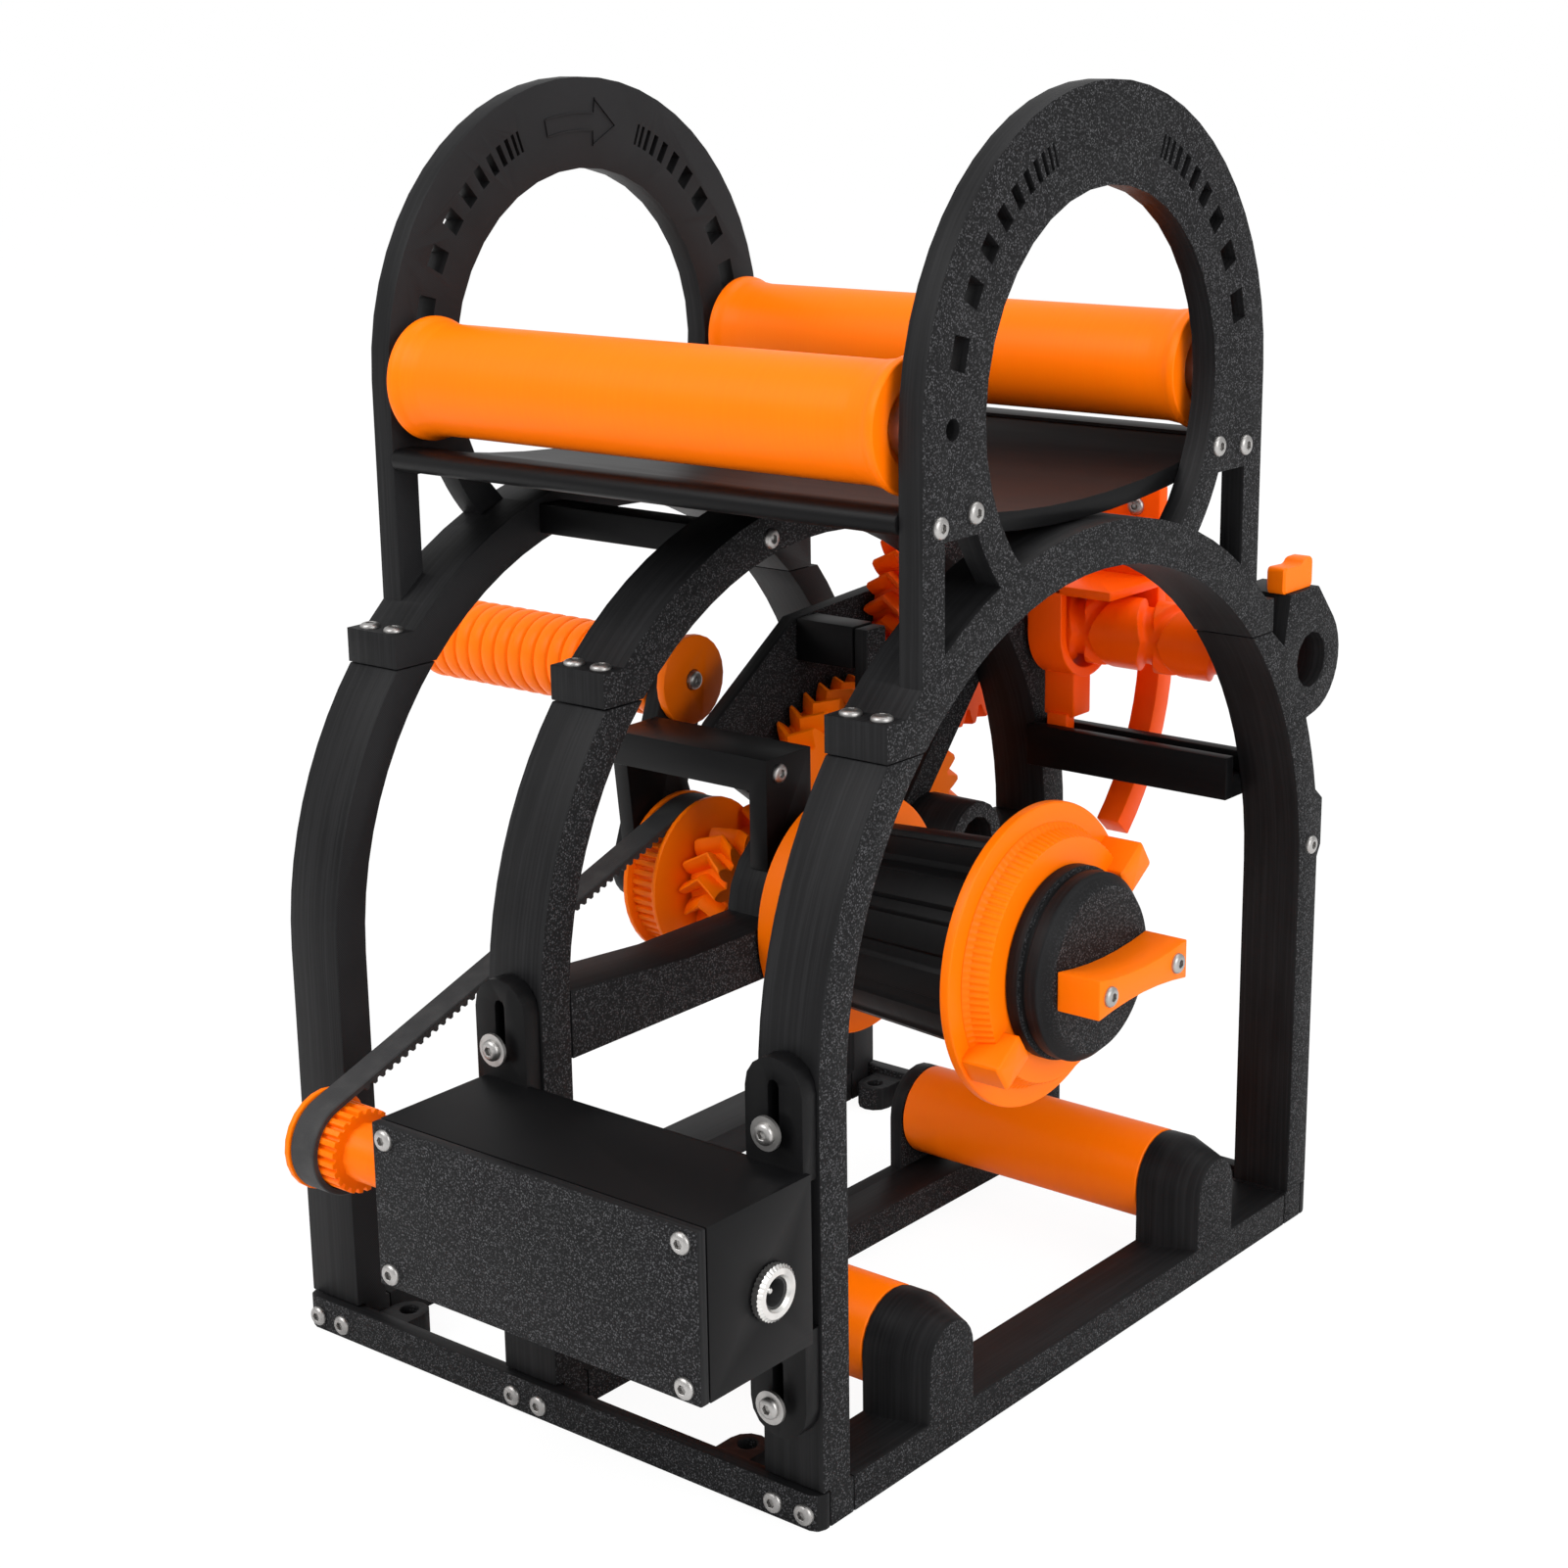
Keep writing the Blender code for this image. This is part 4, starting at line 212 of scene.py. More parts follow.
@dataclass(frozen=True)
class PrintedPlastic:
    """Layered plastic: fine lines along the build axis, a grainy plate side and a ruled top side.

    Ranges are where a ramp starts and ends, shares what a pattern adds to the bump, tones what it adds to
    the colour, and the last five what it adds to the roughness or takes from it.
    """

    name: str
    colour: Triple
    speck: Triple
    roughness: float
    build: Axis = Axis.X
    plate: float = 0.0
    specular: float = 0.5
    streak: float = 1.0
    layer: float = 0.0003
    line_depth: float = 0.000012
    line_share: float = 0.6
    side_range: Pair = (0.5, 0.9)
    band_stretch: float = 60.0
    band_scale: float = 22.0
    band_detail: float = 3.0
    band_range: Pair = (0.35, 0.75)
    band_share: float = 0.5
    band_tone: float = 0.3
    cloud_scale: float = 45.0
    cloud_tone: float = 0.2
    grain: float = 1700.0
    grain_depth: float = 0.00009
    plate_range: Pair = (0.6, 0.95)
    plate_dim: float = 0.4
    fleck_range: Pair = (0.42, 0.9)
    fleck_tone: float = 0.95
    cluster_scale: float = 0.6
    cluster_detail: float = 1.0
    cluster_range: Pair = (0.3, 0.7)
    cluster_share: float = 0.8
    rule: float = 0.0005
    rule_share: float = 0.16
    rule_tone: float = 0.25
    plate_rough: float = 0.16
    fleck_gloss: float = 0.22
    plate_cloud_rough: float = 0.08
    side_gloss: float = 0.04
    band_rough: float = 0.1
    cloud_rough: float = 0.06

    def material(self) -> bpy.types.Material:
        """Builds the material.

        Returns:
            A material with layer lines on the sides, grain on the plate side and ruled lines on top.
        """
        paint = Paint(self.name, self.roughness)
        paint.shader.inputs["Specular IOR Level"].default_value = self.specular
        place = paint.place()
        facing = paint.facing(self.build)
        side = 1 - abs(facing).ramp(*self.side_range)
        drift = [self.band_stretch if axis is self.build else 1.0 for axis in Axis]
        bands = paint.noise(paint.stretched(place, tuple(drift)), self.band_scale, self.band_detail)
        lines = paint.part_of(place, self.build).ripple(self.layer)
        clouds = paint.noise(place, self.cloud_scale)
        height = side * (lines * self.line_share + bands * self.band_share * self.streak)
        tone = side * bands.ramp(*self.band_range) * self.band_tone * self.streak + clouds * self.cloud_tone
        depth = self.line_depth
        if self.plate:
            depth = self.grain_depth
            mask = (facing * self.plate).ramp(*self.plate_range)
            cluster = paint.noise(place, self.grain * self.cluster_scale, self.cluster_detail)
            cluster = cluster.ramp(*self.cluster_range)
            fleck = (1 - paint.cells(place, self.grain)).ramp(*self.fleck_range)
            fleck = fleck * (cluster * self.cluster_share + (1 - self.cluster_share))
            top = (facing * -self.plate).ramp(*self.plate_range)
            planar = [paint.part_of(place, axis) for axis in Axis if axis is not self.build]
            ruled = top * (planar[0] + planar[1]).ripple(self.rule)
            height = height * (self.line_depth / depth) + mask * fleck + ruled * self.rule_share
            sparkle = mask * (fleck * self.fleck_tone + (1 - self.fleck_tone))
            tone = tone * (1 - mask) * self.plate_dim + sparkle + ruled * self.rule_tone
            rough = self.roughness + mask * self.plate_rough - mask * fleck * self.fleck_gloss
            paint.feed("Roughness", rough + clouds * self.plate_cloud_rough)
        else:
            rough = self.roughness - self.side_gloss + bands * self.band_rough
            paint.feed("Roughness", rough + clouds * self.cloud_rough)
        paint.feed("Base Color", paint.blend(tone, self.colour, self.speck))
        paint.bump(height, depth)
        return paint.material


@dataclass(frozen=True)
class TurnedSteel:
    """Bright steel with faint turning marks and small stains."""

    name: str
    colour: Triple = (0.66, 0.65, 0.63)
    roughness: float = 0.22
    marks: Triple = (2600.0, 700.0, 700.0)
    mark_detail: float = 3.0
    mark_depth: float = 0.00001
    mark_rough: float = 0.14
    stain_scale: float = 180.0
    stain_range: Pair = (0.45, 0.8)
    stain_rough: float = 0.08
    stain_tone: float = 0.72

    def material(self) -> bpy.types.Material:
        """Builds the material.

        Returns:
            A metal whose roughness and bump follow fine noise.
        """
        paint = Paint(self.name, self.roughness, metallic=1.0)
        place = paint.place()
        fine = paint.noise(paint.stretched(place, self.marks), 1.0, self.mark_detail)
        stain = paint.noise(place, self.stain_scale)
        paint.feed("Roughness", self.roughness + fine * self.mark_rough + stain * self.stain_rough)
        darker = tuple(self.stain_tone * part for part in self.colour)
        paint.feed("Base Color", paint.blend(stain.ramp(*self.stain_range), self.colour, darker))
        paint.bump(fine, self.mark_depth)
        return paint.material


@dataclass(frozen=True)
class BeltRubber:
    """Matte black rubber with a fabric-backed grain."""

    name: str
    colour: Triple = (0.016, 0.016, 0.017)
    dusty: Triple = (0.045, 0.044, 0.043)
    roughness: float = 0.62
    grain: float = 2200.0
    grain_detail: float = 3.0
    grain_rough: float = 0.2
    grain_share: float = 0.7
    rib: float = 0.0008
    depth: float = 0.00004
    dust_scale: float = 160.0
    dust_range: Pair = (0.4, 0.9)
    dust_share: float = 0.6

    def material(self) -> bpy.types.Material:
        """Builds the material.

        Returns:
            A matte surface with fine cross ribs and dust.
        """
        paint = Paint(self.name, self.roughness)
        place = paint.place()
        fine = paint.noise(place, self.grain, self.grain_detail)
        dust = paint.noise(place, self.dust_scale).ramp(*self.dust_range) * self.dust_share
        ribs = paint.part_of(place, Axis.X).ripple(self.rib)
        paint.feed("Base Color", paint.blend(dust, self.colour, self.dusty))
        paint.feed("Roughness", self.roughness + fine * self.grain_rough)
        paint.bump(fine * self.grain_share + ribs * (1 - self.grain_share), self.depth)
        return paint.material


class Finishes:
    """The finishes of all pieces, made once each."""

    BLACK = (0.0026, 0.0026, 0.0029)
    GREY = (0.0070, 0.0068, 0.0074)
    SPARKLE = (0.088, 0.088, 0.093)
    ORANGE = (1.0, 0.165, 0.0003)
    AMBER = (1.0, 0.205, 0.0006)
    # Darker oranges for the level-wind pieces: painted shade, standing in for the shade and orange bounce
    # light in that corner.
    PAINTED_SHADE_ORANGE = (1.0, 0.09, 0.0003)
    PAINTED_SHADE_AMBER = (1.0, 0.115, 0.0006)
    SCREW = (0.40, 0.39, 0.38)

    def __init__(self) -> None:
        """Builds the materials."""
        dull = {"roughness": 0.46, "specular": 0.12, "streak": 0.6}
        vivid = {"roughness": 0.34, "specular": 0.10}
        plate = PrintedPlastic("black_plate_right", self.BLACK, self.SPARKLE, **dull)
        side = replace(plate, name="black_across", speck=self.GREY, roughness=0.40)
        orange = PrintedPlastic("orange_across", self.ORANGE, self.AMBER, streak=0.5, **vivid)
        # The level-wind orange is painted shade: a darker copy of the orange print.
        deep = PrintedPlastic("orange_painted_shade", self.PAINTED_SHADE_ORANGE, self.PAINTED_SHADE_AMBER, **vivid)
        self.plate_right = replace(plate, plate=1.0).material()
        self.plate_left = replace(plate, name="black_plate_left", plate=-1.0).material()
        self.plate_front = replace(plate, name="black_plate_front", build=Axis.Y, plate=-1.0).material()
        self.upright = replace(side, name="black_upright", build=Axis.Z).material()
        self.across = side.material()
        self.orange = orange.material()
        self.orange_painted_shade = deep.material()
        self.steel = TurnedSteel("bright_steel_turned").material()
        self.dark_steel = TurnedSteel("screw_steel", self.SCREW, roughness=0.30).material()
        self.rubber = BeltRubber("belt_rubber_ribbed").material()


# Surface tools


@dataclass
class Shell:
    """Points and faces of one closed surface."""

    points: np.ndarray
    faces: list[list[int]]


def lattice(grid: np.ndarray, looped: bool = False) -> Shell:
    """A closed surface from a grid whose rows are rings.

    Neighbouring rings are joined by quads. A looped grid joins its last ring to its first, and any other is
    closed by a fan from the middle point of each end ring.

    Args:
        grid: points of shape (rings, points per ring, 3).
        looped: whether the last ring is joined to the first.

    Returns:
        The surface.
    """
    rings, count = grid.shape[:2]
    index = np.arange(rings * count).reshape(rings, count)
    low = index if looped else index[:-1]
    high = np.roll(index, -1, axis=0) if looped else index[1:]
    quads = np.stack([low, np.roll(low, -1, axis=1), np.roll(high, -1, axis=1), high], axis=-1)
    points = grid.reshape(-1, 3)
    faces = quads.reshape(-1, 4).tolist()
    if not looped:
        ends = np.stack([grid[0].mean(axis=0), grid[-1].mean(axis=0)])
        points = np.concatenate([points, ends])
        for pole, ring in ((rings * count, index[0]), (rings * count + 1, index[-1])):
            fan = np.stack([np.full(count, pole), ring, np.roll(ring, -1)], axis=-1)
            faces += fan.tolist()
    return Shell(points, faces)


def softened(profile: ArrayLike, radius: float, steps: int = 4, looped: bool = True) -> np.ndarray:
    """Rounds each corner of a profile by a parabola.

    The parabola leaves each side at the radius, or at 0.45 of a side that is too short for that.

    Args:
        profile: corner points of shape (corners, 2).
        radius: how far from a corner its rounding starts.
        steps: points per corner.
        looped: whether the last corner is joined to the first.

    Returns:
        The rounded profile.
    """
    side_share = 0.45
    shortest = 1e-9
    profile = np.array(profile)
    leaves = []
    for shift in (1, -1):
        side = np.roll(profile, shift, axis=0) - profile
        length = np.linalg.norm(side, axis=1, keepdims=True)
        reach = np.minimum(radius, side_share * length)
        leaves.append(profile + side / np.maximum(length, shortest) * reach)
    start, end = (leave[:, None] for leave in leaves)
    share = np.linspace(0, 1, steps)[None, :, None]
    rounded = (1 - share) ** 2 * start + 2 * share * (1 - share) * profile[:, None] + share**2 * end
    if not looped:
        rounded[0] = profile[0]
        rounded[-1] = profile[-1]
    return rounded.reshape(-1, 2)


def around(count: int) -> np.ndarray:
    """Angles evenly spread round a turn."""
    return np.arange(count) * TURN / count


def rays(angle: np.ndarray) -> np.ndarray:
    """Unit vectors at angles."""
    return np.stack([np.cos(angle), np.sin(angle)], axis=-1)


def direction(vectors: np.ndarray) -> np.ndarray:
    """Vectors brought to the length one."""
    return vectors / np.linalg.norm(vectors, axis=-1, keepdims=True)


def polar(x: np.ndarray, radius: np.ndarray, angle: np.ndarray, centre: Pair) -> np.ndarray:
    """Grid points from places along X, radii and angles: y = cy + r cos a and z = cz + r sin a."""
    y = centre[0] + radius * np.cos(angle)
    z = centre[1] + radius * np.sin(angle)
    return np.stack([np.broadcast_to(x, y.shape), y, z], axis=-1)


def revolve(profile: np.ndarray, centre: Pair, count: int = 96, looped: bool = True) -> Shell:
    """Turns a profile about a line along X.

    Args:
        profile: points of shape (n, 2), each a place along X and a radius.
        centre: the line's (y, z).
        count: points round each ring.
        looped: whether the profile closes on itself, as round a bore.

    Returns:
        The surface.
    """
    return lattice(polar(profile[:, :1], profile[:, 1:], around(count), centre), looped)


def ribbed(rows: list[Triple], ribs: int, depth: float, centre: Pair) -> Shell:
    """Turns a profile about a line along X, with ribs.

    At the angle a the radius falls by share * depth * (1 + cos(ribs a)) / 2.

    Args:
        rows: the profile's points, each a place along X, a radius and the ribs' share there.
        ribs: how many ribs go round.
        depth: how deep they are.
        centre: the line's (y, z).

    Returns:
        The surface.
    """
    points_per_rib = 8
    x, base, share = np.array(rows).T[..., None]
    angle = around(ribs * points_per_rib)[None]
    wave = 0.5 + 0.5 * np.cos(ribs * angle)
    return lattice(polar(x, base - depth * share * wave, angle, centre), looped=True)


def carried(x: np.ndarray, plane: np.ndarray, looped: bool = False) -> Shell:
    """A surface from (y, z) grid points and their places along X, given by ring or by point of a ring."""
    across = np.broadcast_to(x[..., None], (*plane.shape[:2], 1))
    return lattice(np.concatenate([across, plane], axis=-1), looped)


def tube(low: float, high: float, bore: float, radius: float) -> list[Pair]:
    """The profile of a tube, as places along X and radii."""
    return [(low, bore), (low, radius), (high, radius), (high, bore)]


def eased(low: float, high: float, soft: float) -> tuple[np.ndarray, np.ndarray]:
    """Six places between two ends, and how far an outline is drawn in at each for soft edges."""
    bend = 0.3
    places = np.array([low, low + bend * soft, low + soft, high - soft, high - bend * soft, high])
    return places, soft * np.array([1.0, bend, 0.0, 0.0, bend, 1.0])


def block(low: Triple, high: Triple, soft: float = 0.0006) -> Shell:
    """A box with soft edges: one softened outline at six heights, drawn in at both ends.

    Args:
        low: its lowest corner.
        high: its highest corner.
        soft: the radius of its edges.

    Returns:
        The surface.
    """
    middle = (np.array(low[:2]) + high[:2]) / 2
    half = (np.array(high[:2]) - low[:2]) / 2
    outline = softened(middle + half * np.array([(-1, -1), (1, -1), (1, 1), (-1, 1)]), soft)
    z, inset = eased(low[2], high[2], soft)
    plane = middle + (outline - middle)[None] * (1 - inset[:, None, None] / half)
    height = np.broadcast_to(z[:, None, None], (*plane.shape[:2], 1))
    return lattice(np.concatenate([plane, height], axis=-1))


def together(shells: list[Shell]) -> Shell:
    """Several surfaces as one list of points and faces."""
    offsets = np.cumsum([0] + [len(s.points) for s in shells[:-1]])
    faces = [[k + int(o) for k in face] for s, o in zip(shells, offsets) for face in s.faces]
    return Shell(np.concatenate([s.points for s in shells]), faces)


def piece(
    name: str,
    shells: list[Shell],
    material: bpy.types.Material,
    body: str,
    slot: Slot,
    stands_for: tuple[str, ...] = (),
    sharp_deg: float = SHARP_DEG,
) -> None:
    """Makes an object at the origin from surfaces, smooth but for its sharp edges.

    Args:
        name: the piece's name.
        shells: its surfaces.
        material: its finish.
        body: the body that it rides on.
        slot: the record's slot of its finish; not used.
        stands_for: solids that it replaces.
        sharp_deg: edges that turn by more than this stay sharp.
    """
    merge_distance = 1e-7
    whole = together(shells)
    mesh = bpy.data.meshes.new(name)
    mesh.from_pydata(whole.points.tolist(), [], whole.faces)
    work = bmesh.new()
    work.from_mesh(mesh)
    bmesh.ops.remove_doubles(work, verts=work.verts, dist=merge_distance)
    bmesh.ops.recalc_face_normals(work, faces=work.faces)
    work.to_mesh(mesh)
    work.free()
    mesh.materials.append(material)
    mesh.shade_smooth()
    mesh.set_sharp_from_angle(angle=math.radians(sharp_deg))
    made = bpy.data.objects.new(name, mesh)
    bpy.context.scene.collection.objects.link(made)
    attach(made, body)
    if stands_for:
        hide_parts(*stands_for)
    LOG.info("%s: %d faces on %s", name, len(mesh.polygons), body)


def stand_in(
    solid: str,
    word: str,
    shells: list[Shell],
    material: bpy.types.Material,
    body: str,
    slot: Slot,
    sharp_deg: float = SHARP_DEG,
) -> None:
    """Makes a piece that replaces one solid and is named after it, with a word for its form."""
    piece(f"{solid}_{word}", shells, material, body, slot, (solid,), sharp_deg)


@dataclass
class EdgeSoftener:
    """Welds a solid's facets, softens its edges and shades its arcs smooth, by modifiers alone."""

    weld: float = 0.00001
    flat_deg: float = 0.4
    bevel_deg: float = 34.0
    segments: int = 2

    def __post_init__(self) -> None:
        """Builds the node group that shades smooth up to an angle."""
        tree = bpy.data.node_groups.new("smooth_by_angle", "GeometryNodeTree")
        for way in ("INPUT", "OUTPUT"):
            tree.interface.new_socket("Geometry", in_out=way, socket_type="NodeSocketGeometry")
        add = tree.nodes.new
        source, target = add("NodeGroupInput"), add("NodeGroupOutput")
        angle, limit = add("GeometryNodeInputMeshEdgeAngle"), add("FunctionNodeCompare")
        limit.data_type, limit.operation = "FLOAT", "GREATER_THAN"
        limit.inputs[1].default_value = math.radians(SHARP_DEG)
        faces, edges = add("GeometryNodeSetShadeSmooth"), add("GeometryNodeSetShadeSmooth")
        faces.domain, edges.domain = "FACE", "EDGE"
        edges.inputs["Shade Smooth"].default_value = False
        links = ((source, faces, 0), (faces, edges, 0), (angle, limit, 0), (limit, edges, "Selection"))
        for start, end, slot in (*links, (edges, target, 0)):
            tree.links.new(start.outputs[0], end.inputs[slot])
        self.tree = tree

    def dress(self, node: str, material: bpy.types.Material, width: float) -> None:
        """Gives a solid its finish and soft edges.

        Args:
            node: the solid's name.
            material: its finish.
            width: how wide its edges are softened, or zero for none.
        """
        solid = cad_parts[node]
        solid.data.materials.clear()
        solid.data.materials.append(material)
        solid.modifiers.new("weld", "WELD").merge_threshold = self.weld
        if width:
            merge = solid.modifiers.new("merge_flats", "DECIMATE")
            merge.decimate_type = "DISSOLVE"
            merge.angle_limit = math.radians(self.flat_deg)
            bevel = solid.modifiers.new("soft_edges", "BEVEL")
            bevel.width, bevel.segments = width, self.segments
            bevel.limit_method = "ANGLE"
            bevel.angle_limit = math.radians(self.bevel_deg)
        solid.modifiers.new("shade", "NODES").node_group = self.tree
        LOG.info("%s: dressed", node)


# Sub-assemblies


@dataclass
class Frames:
    """Arch frames, rails, rings, tray, brackets, axles and the other solids that are kept."""

    soft: float = 0.0004
    fine: float = 0.00015

    def dress(self, finish: Finishes, softener: EdgeSoftener) -> None:
        """Gives each solid its finish, for the prints that of their build direction.

        Args:
            finish: the finishes.
            softener: what softens the edges.
        """
        plate_right = (
            "right_front_leg right_back_leg right_base right_ring middle_front_leg middle_back_leg "
            "middle_base middle_crown hub_carrier gear_plate_left"
        )
        steel = (
            "idler_axle drum_shaft hub_shaft grip_bolt motor motor_shaft hub_bearing_left "
            "hub_bearing_right lower_front_axle lower_back_axle top_front_axle top_back_axle"
        )
        upright = "spool_tray crown_tie_bar yoke level_wind_rail gear_tie_bar motor_box"
        rows = (
            (finish.plate_right, self.soft, plate_right),
            (finish.plate_left, self.soft, "left_front_leg left_back_leg left_base left_ring crank_arm"),
            (finish.plate_front, self.soft, "front_rail back_rail box_front_panel"),
            (finish.upright, self.soft, upright),
            (finish.steel, 0.0, steel),
            (finish.orange, self.soft, "clamp_lever grip_cap"),
            # The guide arm takes the orange with painted shade.
            (finish.orange_painted_shade, self.soft, "guide_arm"),
            (finish.orange, self.fine, "hub_pulley motor_pulley"),
        )
        for material, width, nodes in rows:
            for node in nodes.split():
                softener.dress(node, material, width)


@dataclass
class Rollers:
    """The two flanged rollers under the full spool and the two plain ones under the wound spool."""

    top: Pair = (0.0665, 0.2665)
    low: Pair = (0.066, 0.026)
    radius: float = 0.0138
    top_radius: float = 0.0152
    flange: float = 0.0170
    flange_width: float = 0.0022
    cone: float = 0.0075
    bend: float = 0.3
    bend_rise: float = 0.0007
    recess: float = 0.0105
    recess_depth: float = 0.002
    top_span: Pair = (-0.076, 0.0895)
    low_span: Pair = (-0.0046, 0.0812)
    soft: float = 0.0008

    def top_profile(self) -> np.ndarray:
        """Half of the flanged profile, then its mirror image: bore, recess, flange, cone and tube."""
        low, high = self.top_span
        inner = low + self.flange_width
        sunk = low + self.recess_depth
        half = [(sunk, SHAFT_BORE), (sunk, self.recess), (low, self.recess), (low, self.flange)]
        half += [(inner, self.flange), (inner + self.bend * self.cone, self.top_radius + self.bend_rise)]
        half = np.array([*half, (inner + self.cone, self.top_radius)])
        return np.concatenate([half, half[::-1] * (-1, 1) + (low + high, 0)])

    def build(self, finish: Finishes) -> None:
        """Builds the four rollers."""
        plain = tube(*self.low_span, SHAFT_BORE, self.radius)
        levels = (("top", self.top_profile(), self.top), ("lower", plain, self.low))
        for side, label in ((-1, "front"), (1, "back")):
            for level, profile, (y, z) in levels:
                body = f"{level}_{label}"
                shell = revolve(softened(profile, self.soft), (side * y, z))
                stand_in(f"{body}_roller", "turned", [shell], finish.orange, body, Slot.ORANGE)


@dataclass
class SpoolHub:
    """What carries the wound spool: disc, fluted core, flange nut and end cap."""

    disc_x: float = 0.0103
    disc_width: float = 0.0122
    disc_r: float = 0.0348
    disc_soft: float = 0.0011
    core_x: float = 0.0228
    core_length: float = 0.0557
    core_r: Pair = (0.027, 0.030)
    core_soft: float = 0.0008
    core_step: float = 0.1
    flutes: int = 14
    flute_depth: float = 0.0014
    flute_points: int = 24
    flute_places: tuple[float, ...] = (0.0, 0.6, 0.66, 0.92, 1.0)
    flute_shares: tuple[float, ...] = (0.0, 0.0, 1.0, 0.6, 0.0)
    nut_x: float = 0.0788
    nut_flange: float = 0.0425
    nut_flange_width: float = 0.0032
    nut_flange_soft: float = 0.0009
    nut_step: float = 0.037
    nut_step_width: float = 0.0016
    nut_collar: float = 0.0345
    nut_collar_width: float = 0.0052
    nut_sink: float = 0.0005
    nut_lift: float = 0.0002
    nut_soft: float = 0.0006
    nut_gap: float = 0.0005
    ribs: int = 110
    rib_depth: float = 0.0005
    lug_width: float = 0.009
    lug_length: float = 0.0125
    lug_reach: float = 0.0415
    lug_depth: float = 0.012
    lug_turn: float = math.radians(213.7)
    lug_soft: float = 0.0012
    lug_ends: Triple = (0.0008, 0.0003, 0.0)
    lug_insets: Triple = (0.0, 0.0003, 0.0009)
    cap_x: float = 0.0891
    cap_width: float = 0.0125
    cap_r: float = 0.0268
    cap_front: float = 0.0228
    cap_cone: float = 0.0035
    cap_groove: float = 0.0016
    cap_bore: float = 0.009
    cap_soft: float = 0.0004
    disc_points: int = 144
    nut_points: int = 192

    def disc(self, finish: Finishes) -> None:
        """The disc that the spool is pushed against."""
        corners = tube(self.disc_x, self.disc_x + self.disc_width, SHAFT_BORE, self.disc_r)
        shell = revolve(softened(corners, self.disc_soft), HUB_AXIS, self.disc_points)
        stand_in("spool_disc", "turned", [shell], finish.orange, "hub", Slot.ORANGE)

    def core(self, finish: Finishes) -> None:
        """The core: its radius falls by the flute depth in a ratchet that repeats round the turn.

        Within a flute the depth share is 0 up to 0.6, rises to 1 at 0.66 and falls back to 0 at the end.
        """
        angle = around(self.flutes * self.flute_points)
        depth = np.interp((angle * self.flutes / TURN) % 1, self.flute_places, self.flute_shares)
        soft, start, end = self.core_soft, self.core_x, self.core_x + self.core_length
        step = start + self.core_step * self.core_length
        x = np.array([start, start, start, start + soft, step, end - soft, end, end])
        inset = np.array([0, 0, soft, 0, 0, 0, soft, 0])
        radius = (np.interp(x, [start, end], self.core_r) - inset)[:, None] - self.flute_depth * depth
        radius[[0, -1]] = SHAFT_BORE
        radius[1] = SHAFT_BORE + soft
        shell = lattice(polar(x[:, None], radius, angle[None], HUB_AXIS), looped=True)
        stand_in("hub_core", "fluted", [shell], finish.across, "hub", Slot.BLACK)

    def lug(self, turn: float) -> Shell:
        """One block on the nut to turn it by: a rounded box carried along X.

        Args:
            turn: the direction that it stands in, in radians.

        Returns:
            The surface.
        """
        out = np.array([math.cos(turn), math.sin(turn)])
        across = np.array([-out[1], out[0]])
        root = self.lug_reach - self.lug_length
        half = self.lug_width / 2
        corners = np.array([(root, -half), (self.lug_reach, -half), (self.lug_reach, half), (root, half)])
        middle = corners.mean(axis=0)
        low = self.nut_x + self.nut_flange_width / 2
        high = self.nut_x + self.nut_flange_width + self.lug_depth
        places = np.array([low, *(high - end for end in self.lug_ends)])
        inset = np.array([0.0, *self.lug_insets]) / half
        rings = middle + (softened(corners, self.lug_soft) - middle) * (1 - inset)[:, None, None]
        return carried(places[:, None], rings @ np.stack([out, across]) + np.array(HUB_AXIS))

    def nut(self, finish: Finishes) -> None:
        """The flange nut: a turned flange, a collar whose radius swings with its ribs, and two lugs."""
        step_x = self.nut_x + self.nut_flange_width
        collar_x = step_x + self.nut_step_width
        end = collar_x + self.nut_collar_width
        corners = tube(self.nut_x, step_x, SHAFT_BORE, self.nut_flange)
        flange = revolve(softened(corners, self.nut_flange_soft), HUB_AXIS, self.nut_points)
        root, step, rim = step_x - self.nut_sink, self.nut_step, self.nut_collar
        rows = [(root, SHAFT_BORE, 0.0), (root, step, 0.0), (step_x + self.nut_lift, step, 0.0)]
        rows += [(collar_x, (step + rim) / 2, 1.0), (end - self.nut_soft, rim, 1.0)]
        rows += [(end, rim - self.nut_soft, 0.0), (end, self.cap_r + self.nut_gap, 0.0)]
        rows += [(end, SHAFT_BORE, 0.0)]
        collar = ribbed(rows, self.ribs, self.rib_depth, HUB_AXIS)
        shells = [flange, collar, self.lug(self.lug_turn), self.lug(self.lug_turn - math.pi)]
        stand_in("flange_nut", "ribbed", shells, finish.orange, "nut", Slot.ORANGE)

    def cap(self, finish: Finishes) -> None:
        """The end cap: rim, groove, second rim and a sloping edge to its face."""
        end = self.cap_x + self.cap_width
        front = end - self.cap_cone
        groove = (self.cap_x + front) / 2
        half = self.cap_groove / 2
        floor, rim, deep = self.cap_x + self.cap_bore, self.cap_r, self.cap_r - self.cap_groove
        corners = [(floor, 0.0), (floor, SHAFT_BORE), (self.cap_x, SHAFT_BORE), (self.cap_x, rim)]
        corners += [(groove - half, rim), (groove - half, deep), (groove + half, deep)]
        corners += [(groove + half, rim - half), (front, rim - half), (end, self.cap_front), (end, 0.0)]
        profile = softened(corners, self.cap_soft, looped=False)
        shell = revolve(profile, HUB_AXIS, self.disc_points, looped=False)
        stand_in("end_cap", "turned", [shell], finish.plate_right, "cap", Slot.BLACK)

    def build(self, finish: Finishes) -> None:
        """Builds the hub's pieces."""
        self.disc(finish)
        self.core(finish)
        self.nut(finish)
        self.cap(finish)


